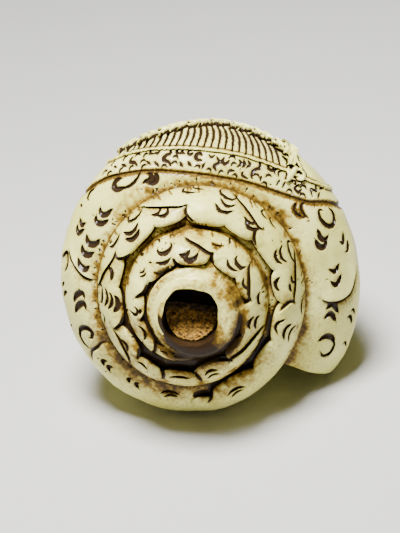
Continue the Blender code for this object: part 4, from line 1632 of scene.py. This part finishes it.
    def band(self, groove: np.ndarray, ridge: np.ndarray) -> None:
        """Cuts curls and short strokes between the groove and the ridge.

        Args:
            groove: The groove's places on the skin.
            ridge: The ridge's places.
        """
        strokes = [(width, whole(spots)) for width, spots in (
            (0.9, [208+540j, 213+585j, 208+630j, 212.5+690j]),
            (0.8, [201.5+590j, 204+660j]), (0.8, [206.5+700j, 205+770j]),
            (1.0, [221+480j, 221.5+435j, 227+440j, 227.5+480j]),
            (0.8, [239.5+365j, 240.5+420j]), (0.8, [246.5+345j, 247+400j]),
            (0.8, [250.5+435j, 253+465j, 251+500j]), (0.8, [255.5+430j, 258+460j, 256+490j]),
            (1.0, [260.5+475j, 260+445j, 264.5+440j, 267+465j]), (0.8, [266.5+285j, 268+330j]),
            (1.0, [277+265j, 280+300j, 278.5+360j, 274+395j, 277+455j]),
            (0.9, [288.5+345j, 286.5+385j, 290+420j]), (0.9, [293.5+335j, 292+370j, 295+410j]),
            (0.9, [299+325j, 297+365j, 300+395j]), (0.9, [283+240j, 290.5+255j, 291+290j]),
            (0.9, [302+270j, 308+260j, 308.5+220j]), (1.0, [312+360j, 314.5+320j, 319.5+335j, 318.5+375j]),
            (1.0, [325+235j, 328.5+280j, 323+325j, 326.5+370j]), (0.8, [330.5+390j, 334+365j, 336.5+390j]),
            (0.9, [343.5+250j, 341.5+300j]),
            (1.1, [345.5+330j, 351.5+345j, 353+385j, 348.5+410j, 345.5+385j]),
            (0.9, [358.5+280j, 362.5+325j]), (0.9, [369.5+280j, 372.5+330j]),
            (0.9, [356.5+420j, 359.5+400j, 363+420j, 361.5+450j]), (0.9, [366.5+420j, 370+440j, 368+475j]),
            (0.9, [372.5+430j, 376.5+455j, 374.5+490j]),
            (1.1, [385+320j, 387+365j, 393+410j, 389.5+450j, 384+455j, 383.5+500j]),
            (0.9, [400.5+355j, 404.5+425j]), (0.9, [410.5+415j, 413.5+465j]),
            (0.9, [396+530j, 399+510j, 402.5+530j]), (0.9, [404.5+520j, 408+545j, 406.5+580j]),
            (1.0, [426.5+475j, 428.5+530j, 434+580j, 430+620j]),
            (0.9, [439.5+550j, 444+620j]), (0.8, [451.5+645j, 453.5+700j]),
        )]
        for width, spots in strokes:
            self.carving.trace(spots, 1.75 * width, 0.5, Cut.GOUGE, 1.0, 0.55, 0.5)
        self.fill(groove, ridge, strokes)
        count = 30
        for k in range(count):
            share = 0.50 + 0.46 * (k + 0.5) / count
            outer = groove[int(share * 240)]
            near = int(np.argmin(np.abs(ridge - outer)))
            inner = ridge[near]
            run, side = inner - outer, 1j * (inner - outer)
            if k % 3 == 0:
                keys = [0.15 + 0.0j, 0.35 + 0.16j, 0.55 + 0.0j, 0.72 - 0.14j, 0.86 + 0.02j]
            elif k % 3 == 1:
                keys = [0.60 - 0.12j, 0.50 + 0.04j, 0.62 + 0.16j, 0.78 + 0.06j, 0.72 - 0.04j]
            else:
                keys = [0.22 - 0.10j, 0.34 + 0.06j, 0.24 + 0.20j]
            places = np.array([outer + run * key.real + side * key.imag for key in keys])
            self.carving.lay(places, 1.3, 0.45, Cut.GOUGE, 1.0, 0.4, 0.6)

    def fill(self, groove: np.ndarray, ridge: np.ndarray, strokes: list[tuple[float, list[complex]]]) -> None:
        """Cuts small hooks wherever the front of the band is still empty.

        Args:
            groove: The groove's places on the skin.
            ridge: The ridge's places.
            strokes: The strokes that are there, as the width of each and its places.
        """
        radius, rng = self.body_radius, np.random.default_rng(17)
        taken = [spot for _, spots in strokes for spot in self.carving.skin.at(np.array(spots))]
        walls = np.concatenate([groove, ridge])
        for _ in range(1500):
            age = rng.uniform(0.205, 0.47)
            spot = complex(self.carving.skin.at(np.array([complex(age, rng.uniform(0.17, 0.80))]))[0])
            outer = groove[int(np.argmin(np.abs(groove - spot)))]
            inner = ridge[int(np.argmin(np.abs(ridge - spot)))]
            if ((spot - outer) * np.conj(inner - outer)).real < 0 or abs(spot - outer) > abs(inner - outer):
                continue
            if np.min(np.abs(walls - spot)) * radius < 1.7 * MM:
                continue
            if np.min(np.abs(np.array(taken) - spot)) * radius < 1.75 * MM:
                continue
            hand, turn = rng.choice((-1, 1)), rng.uniform(0.9, 2.0)
            bend = np.linspace(-1.3, 1.3, 6)
            hook = np.exp(1j * bend * hand) * np.exp(1j * turn) * 1.0 * MM / radius
            taken += [spot, *(spot + hook - hook.mean())]
            self.carving.lay(spot + hook - hook.mean(), 1.4, 0.45, Cut.GOUGE, 1.0, 0.5, 0.5)

    def leaves(self, rope: np.ndarray) -> None:
        """Raises the garland's leaves, in pairs that lie against the rope.

        Args:
            rope: The rope's places on the skin.
        """
        unit = MM / self.body_radius
        whole = float(np.sum(np.abs(np.diff(rope)))) / unit
        count = int(whole / 3.4)
        for k in range(count):
            i = int((k + 0.5) / count * (len(rope) - 1))
            along = rope[min(i + 2, len(rope) - 1)] - rope[max(i - 2, 0)]
            along /= abs(along)
            for hand in (1, -1):
                leaf = [complex(-0.9, 0.5 * hand), complex(1.0, 1.3 * hand), complex(2.5, 2.6 * hand)]
                keys = np.array([rope[i] + along * unit * p for p in leaf])
                self.carving.lay(keys, 1.75, 1.5, Cut.RIDGE, 1.0, 0.35, 0.5)

    def lotus(self) -> None:
        """Cuts an eight-petalled lotus among curls in the middle of the panel."""
        skin = self.carving.skin
        centre = complex(skin.at(np.array([self.middle]))[0])
        unit = self.lotus_scale * MM / float(skin.radius(np.array([centre]))[0])
        for k in range(8):
            way = np.exp(1j * math.pi * (k + 0.5) / 4)
            petal = [3.2 + 0j, 6.0 + 2.9j, 9.6 + 2.4j, 12.4 + 0j]
            for hand in (1, -1):
                keys = np.array([centre + way * unit * complex(p.real, hand * p.imag) for p in petal])
                self.carving.lay(keys[::hand], 1.0, 1.1, Cut.EDGE, 0.9, 0.6)
            vein = np.array([centre + way * unit * r for r in (5.0, 7.5, 10.2)])
            self.carving.lay(vein, 0.9, 0.35, Cut.GOUGE, 0.9, 0.1)
            curl = centre + np.exp(1j * math.pi * k / 4) * unit * 12.2
            turn = np.linspace(0, 1.7 * math.pi, 9)
            spiral = (2.0 - 0.22 * turn) * unit * np.exp(1j * (turn + math.pi * k / 4))
            self.carving.lay(curl + spiral, 1.0, 0.5, Cut.GOUGE, 1.0, 0.3)
        ring = centre + unit * 2.9 * np.exp(1j * np.linspace(0, 2 * math.pi, 25))
        self.carving.lay(ring[:14], 0.9, 0.6, Cut.GOUGE, 1.0, 1.0)
        self.carving.lay(ring[12:], 0.9, 0.6, Cut.GOUGE, 1.0, 1.0)
        for k in range(7):
            spot = centre + unit * (1.5 * np.exp(2j * math.pi * k / 6) if k < 6 else 0)
            prick = np.array([spot - 0.3 * unit, spot, spot + 0.3 * unit])
            self.carving.lay(prick, 0.8, 0.4, Cut.GOUGE, 1.0, 0.8)


@dataclass
class MouthCrust:
    """The old pitch on the floor of the mouth cup."""

    shell: ConchShell
    thickness: float = 0.0035
    gap: float = 0.0004
    top: float = 0.17  # how high it reaches over the hole's middle, over the hole's radius

    def build(self) -> bpy.types.Object:
        """Builds and dresses the crust, and stands it in for its node.

        Returns:
            The crust.
        """
        shell = self.shell
        middle = np.array(shell.mouth_offset) + (0, shell.collar.top, 0)
        reach = shell.mouth_radius - self.gap
        mesh = bmesh.new()
        rows, columns = 40, 64
        front, back = [], []
        for i in range(rows):
            rise = self.top - (1 + self.top) * (i + 0.5) / rows
            half = math.sqrt(max(1 - rise * rise, 0.0))
            across = np.linspace(-half, half, columns) * reach
            floor = shell.mouth_depth + shell.mouth_slant * rise * reach / shell.mouth_radius - self.gap
            lift = self.thickness * (1 - 0.4 * rise)
            level = np.full(columns, floor - lift)
            spots = np.stack([across, level, np.full(columns, rise * reach)], axis=-1)
            rough = waves(spots, 5, 0.0022) * 0.35 + waves(spots, 6, 0.0011) * 0.4
            inward = np.clip(1 - np.abs(across) / reach, 0, 1) ** 0.5
            y = floor - lift * (0.62 + 0.2 * rough - 0.18 * inward)
            z = np.full(columns, rise * reach * shell.whorls.tall)
            front.append([mesh.verts.new(middle + p) for p in np.stack([across, y, z], axis=-1)])
            under = np.stack([across, np.full(columns, floor), z], axis=-1)
            back.append([mesh.verts.new(middle + p) for p in under])
        for sheet in (front, back):
            for above, below in zip(sheet, sheet[1:]):
                for j in range(columns - 1):
                    mesh.faces.new([above[j], above[j + 1], below[j + 1], below[j]])
        for i in range(rows - 1):
            for j in (0, columns - 1):
                mesh.faces.new([front[i][j], front[i + 1][j], back[i + 1][j], back[i][j]])
        for i in (0, rows - 1):
            for j in range(columns - 1):
                mesh.faces.new([front[i][j], front[i][j + 1], back[i][j + 1], back[i][j]])
        made = shell.solid(mesh, "pitch_crust")
        spots = np.array([vertex.co for vertex in made.data.vertices])
        # Painted shade: the crust darkens towards its top and its sides, where the hole's walls shade it.
        up = (spots[:, 2] - middle[2]) / shell.mouth_radius + 0.12 * waves(spots, 7, 0.004)
        side = np.abs(spots[:, 0] - middle[0]) / shell.mouth_radius
        hole_shade = np.clip(fade(up, -0.35, 0.12) + fade(side, 0.75, 1.0), 0, 1) * 0.9
        made.data.attributes.new("hole_shade", "FLOAT", "POINT").data.foreach_set("value", hole_shade)
        made.data.transform(shell.whorls.resting())
        made.data.shade_smooth()
        made.data.materials.append(OldPitch().make())
        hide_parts("mouth_crust")
        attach(made, "root")
        LOG.info("pitch_crust: %d faces", len(made.data.polygons))
        return made


def linear(hex_colour: str) -> tuple[float, float, float, float]:
    """Turns an sRGB hex colour such as "#e8dfc4" to linear red, green, blue and alpha.

    Args:
        hex_colour: The colour.

    Returns:
        Its four values.
    """
    parts = [int(hex_colour[k : k + 2], 16) / 255 for k in (1, 3, 5)]
    done = [p / 12.92 if p <= 0.04045 else ((p + 0.055) / 1.055) ** 2.4 for p in parts]
    return (*done, 1.0)


def add_node(
    tree: bpy.types.NodeTree, kind: str, settings: dict | None = None, links: dict | None = None
) -> bpy.types.Node:
    """Adds a node.

    Args:
        tree: Where it goes.
        kind: Its type.
        settings: Its properties, and the values of its inputs by name or number.
        links: The output that feeds each of its inputs, by name or number.

    Returns:
        The node.
    """
    made = tree.nodes.new(kind)
    for key, value in (settings or {}).items():
        if isinstance(key, str) and hasattr(made, key):
            setattr(made, key, value)
        else:
            made.inputs[key].default_value = value
    for key, socket in (links or {}).items():
        tree.links.new(socket, made.inputs[key])
    return made


def noise(
    tree: bpy.types.NodeTree, space: bpy.types.NodeSocket, size_mm: float, detail: float
) -> bpy.types.NodeSocket:
    """Adds noise.

    Args:
        tree: Where it goes.
        space: The coordinates to read it at.
        size_mm: The size of its grains, in mm.
        detail: How many finer layers it has.

    Returns:
        Its value.
    """
    settings = {"Scale": 1000 / size_mm, "Detail": detail}
    return add_node(tree, "ShaderNodeTexNoise", settings, {"Vector": space}).outputs["Fac"]


def over(
    tree: bpy.types.NodeTree, share: bpy.types.NodeSocket, below: bpy.types.NodeSocket, colour: str
) -> bpy.types.NodeSocket:
    """Lays a colour over another.

    Args:
        tree: Where it goes.
        share: How much of it shows.
        below: The colour under it.
        colour: The colour on top.

    Returns:
        The mixed colour.
    """
    settings = {"data_type": "RGBA", 7: linear(colour)}
    return add_node(tree, "ShaderNodeMix", settings, {0: share, 6: below}).outputs[2]


def roughen(
    tree: bpy.types.NodeTree, shader: bpy.types.Node, height: bpy.types.NodeSocket,
    strength: float, distance: float,
) -> None:
    """Gives a finish small bumps.

    Args:
        tree: Where it goes.
        shader: The principled shader.
        height: How high the surface is.
        strength: How strongly the bumps show.
        distance: How high they are, in metres.
    """
    settings = {"Strength": strength, "Distance": distance}
    bump = add_node(tree, "ShaderNodeBump", settings, {"Height": height})
    tree.links.new(bump.outputs[0], shader.inputs["Normal"])


def new_material(name: str) -> tuple[bpy.types.Material, bpy.types.NodeTree, bpy.types.Node]:
    """Starts a material.

    Args:
        name: The material's name.

    Returns:
        The material, its tree and its principled shader.
    """
    material = bpy.data.materials.new(name)
    material.use_nodes = True
    return material, material.node_tree, material.node_tree.nodes["Principled BSDF"]


@dataclass(frozen=True)
class PolishedShell:
    """Aragonite sea shell, scraped, hand polished and handled.

    The eye gets a cream gloss that is never quite even, brown dirt with painted shade that fades out of
    every hollow, and dark pigment in the cuts, with painted shade at steps, in sutures and down the mouth.
    """

    cream: str = "#dbd66e"
    pale: str = "#f7f394"
    # The ochre and the brown show dirt and painted shade; the umber shows cut pigment and painted shade.
    ochre: str = "#94700f"
    brown: str = "#3b2804"
    umber: str = "#281702"
    roughness: float = 0.4
    gloss: float = 0.25
    ior: float = 1.55
    cloud_mm: float = 16.0
    fleck_mm: float = 1.1
    pore_mm: float = 0.5

    def make(self) -> bpy.types.Material:
        """Makes the material.

        Returns:
            The material.
        """
        material, tree, shader = new_material("polished_aragonite_shell")
        space = add_node(tree, "ShaderNodeTexCoord").outputs["Object"]
        ink_and_shade = add_node(tree, "ShaderNodeAttribute", {"attribute_name": "ink_and_shade"}).outputs["Fac"]
        grime_and_shade = add_node(tree, "ShaderNodeAttribute", {"attribute_name": "grime_and_shade"}).outputs["Fac"]
        cloud, fleck = noise(tree, space, self.cloud_mm, 5.0), noise(tree, space, self.fleck_mm, 3.0)
        even = add_node(tree, "ShaderNodeMapRange", {1: 0.35, 2: 0.65}, {0: cloud})
        ground = add_node(
            tree, "ShaderNodeMix",
            {"data_type": "RGBA", 6: linear(self.cream), 7: linear(self.pale)},
            {0: even.outputs[0]},
        )
        patch = add_node(tree, "ShaderNodeMapRange", {1: 0.3, 2: 0.7, 3: -0.2, 4: 0.2}, {0: fleck})
        # Brown dirt with painted shade, plus random flecks: how far the ochre and the brown cover the cream.
        worn = add_node(tree, "ShaderNodeMath", {"operation": "ADD"}, {0: grime_and_shade, 1: patch.outputs[0]})
        light = add_node(tree, "ShaderNodeMapRange", {1: 0.12, 2: 0.72, 4: 0.95}, {0: worn.outputs[0]})
        heavy = add_node(tree, "ShaderNodeMapRange", {1: 0.62, 2: 1.05, 4: 0.9}, {0: worn.outputs[0]})
        stained_and_shaded = over(tree, light.outputs[0], ground.outputs[2], self.ochre)
        soiled_and_shaded = over(tree, heavy.outputs[0], stained_and_shaded, self.brown)
        # The umber of the cut pigment and of the painted shade at steps, in sutures and down the mouth hole.
        sharp = add_node(tree, "ShaderNodeMapRange", {1: 0.22, 2: 0.5}, {0: ink_and_shade})
        inked_and_shaded = over(tree, sharp.outputs[0], soiled_and_shaded, self.umber)
        tree.links.new(inked_and_shaded, shader.inputs["Base Color"])
        dirt = add_node(
            tree, "ShaderNodeMath", {"operation": "MAXIMUM"}, {0: light.outputs[0], 1: sharp.outputs[0]}
        )
        dull = add_node(tree, "ShaderNodeMapRange", {3: self.roughness, 4: 0.8}, {0: dirt.outputs[0]})
        tree.links.new(dull.outputs[0], shader.inputs["Roughness"])
        roughen(tree, shader, noise(tree, space, self.pore_mm, 2.0), 0.2, 0.0001)
        shader.inputs["IOR"].default_value = self.ior
        shader.inputs["Specular IOR Level"].default_value = 0.12
        shader.inputs["Coat Weight"].default_value = self.gloss
        shader.inputs["Coat Roughness"].default_value = 0.16
        return material


@dataclass(frozen=True)
class OldPitch:
    """Old pitch and dust, poured and then worn: a dull, granular, golden brown crust, darkened by painted
    shade towards the hole's walls.
    """

    gold: str = "#dda53c"
    brown: str = "#4c330e"
    # The colour of the painted shade on the crust.
    hole_shade: str = "#1d1206"
    grain_mm: float = 0.9

    def make(self) -> bpy.types.Material:
        """Makes the material.

        Returns:
            The material.
        """
        material, tree, shader = new_material("old_granular_pitch")
        space = add_node(tree, "ShaderNodeTexCoord").outputs["Object"]
        grain = noise(tree, space, self.grain_mm, 5.0)
        shade = add_node(tree, "ShaderNodeMapRange", {1: 0.35, 2: 0.62}, {0: grain})
        mix = add_node(
            tree, "ShaderNodeMix", {"data_type": "RGBA", 6: linear(self.brown), 7: linear(self.gold)},
            {0: shade.outputs[0]},
        )
        hole_shade = add_node(tree, "ShaderNodeAttribute", {"attribute_name": "hole_shade"}).outputs["Fac"]
        tree.links.new(over(tree, hole_shade, mix.outputs[2], self.hole_shade), shader.inputs["Base Color"])
        roughen(tree, shader, grain, 0.8, 0.0005)
        shader.inputs["Roughness"].default_value = 0.75
        return material


@dataclass(frozen=True)
class MattePaper:
    """Uncoated seamless paper: an even, matt, pale grey sweep."""

    grey: str = "#c9c8c4"

    def make(self) -> bpy.types.Material:
        """Makes the material.

        Returns:
            The material.
        """
        material, tree, shader = new_material("seamless_paper")
        space = add_node(tree, "ShaderNodeTexCoord").outputs["Object"]
        tooth = add_node(tree, "ShaderNodeTexNoise", {"Scale": 900.0}, {"Vector": space})
        roughen(tree, shader, tooth.outputs["Fac"], 0.05, 0.0002)
        shader.inputs["Base Color"].default_value = linear(self.grey)
        shader.inputs["Roughness"].default_value = 0.9
        return material


@dataclass(frozen=True)
class Studio:
    """The floor, the soft lights and the camera."""

    eye: tuple[float, float, float] = (0.0585, -0.5902, 0.3802)
    gaze: tuple[float, float, float] = (-0.0946, 0.8493, -0.5193)
    camera_roll: float = math.radians(-7.29)
    lens: float = 172.7
    shift: tuple[float, float] = (-0.003, 0.023)

    def floor(self) -> bpy.types.Object:
        """Lays the paper sweep.

        Returns:
            The sweep.
        """
        mesh = bmesh.new()
        bmesh.ops.create_grid(mesh, x_segments=8, y_segments=8, size=1.5)
        data = bpy.data.meshes.new("floor")
        mesh.to_mesh(data)
        mesh.free()
        made = bpy.data.objects.new("floor", data)
        bpy.context.scene.collection.objects.link(made)
        made.data.materials.append(MattePaper().make())
        return made

    def lamp(self, name: str, at: tuple, aim: tuple, size: float, power: float) -> None:
        """Hangs a soft box.

        Args:
            name: The lamp's name.
            at: Where it hangs.
            aim: What it points at.
            size: Its side, in metres.
            power: In watts.
        """
        data = bpy.data.lights.new(name, "AREA")
        data.size, data.energy = size, power
        lamp = bpy.data.objects.new(name, data)
        lamp.location = at
        lamp.rotation_euler = (Vector(aim) - Vector(at)).to_track_quat("-Z", "Y").to_euler()
        bpy.context.scene.collection.objects.link(lamp)

    def camera(self) -> None:
        """Sets up the camera."""
        data = bpy.data.cameras.new("camera")
        data.sensor_fit, data.sensor_width, data.lens = "HORIZONTAL", 36.0, self.lens
        data.shift_x, data.shift_y = self.shift
        data.clip_start = 0.01
        camera = bpy.data.objects.new("camera", data)
        level = Vector(self.gaze).to_track_quat("-Z", "Y")
        camera.rotation_euler = (level @ Matrix.Rotation(self.camera_roll, 3, "Z").to_quaternion()).to_euler()
        camera.location = self.eye
        bpy.context.scene.collection.objects.link(camera)
        bpy.context.scene.camera = camera

    def build(self) -> None:
        """Sets up the studio."""
        self.floor()
        self.lamp("key", (-0.05, -0.12, 0.66), (0, -0.02, 0.04), 0.22, 16.0)
        self.lamp("fill", (-0.6, -0.5, 0.35), (0, 0, 0.04), 0.6, 0.2)
        world = bpy.data.worlds.new("studio")
        world.use_nodes = True
        world.node_tree.nodes["Background"].inputs[0].default_value = linear("#dcdad4")
        world.node_tree.nodes["Background"].inputs[1].default_value = 0.05
        bpy.context.scene.world = world
        self.camera()


def main() -> None:
    """Builds the studio and the trumpet."""
    logging.basicConfig(level=logging.INFO, format="%(message)s")
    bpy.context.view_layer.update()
    Studio().build()
    shell = ConchShell()
    shell.build()
    MouthCrust(shell).build()


if __name__ == "__main__":
    main()
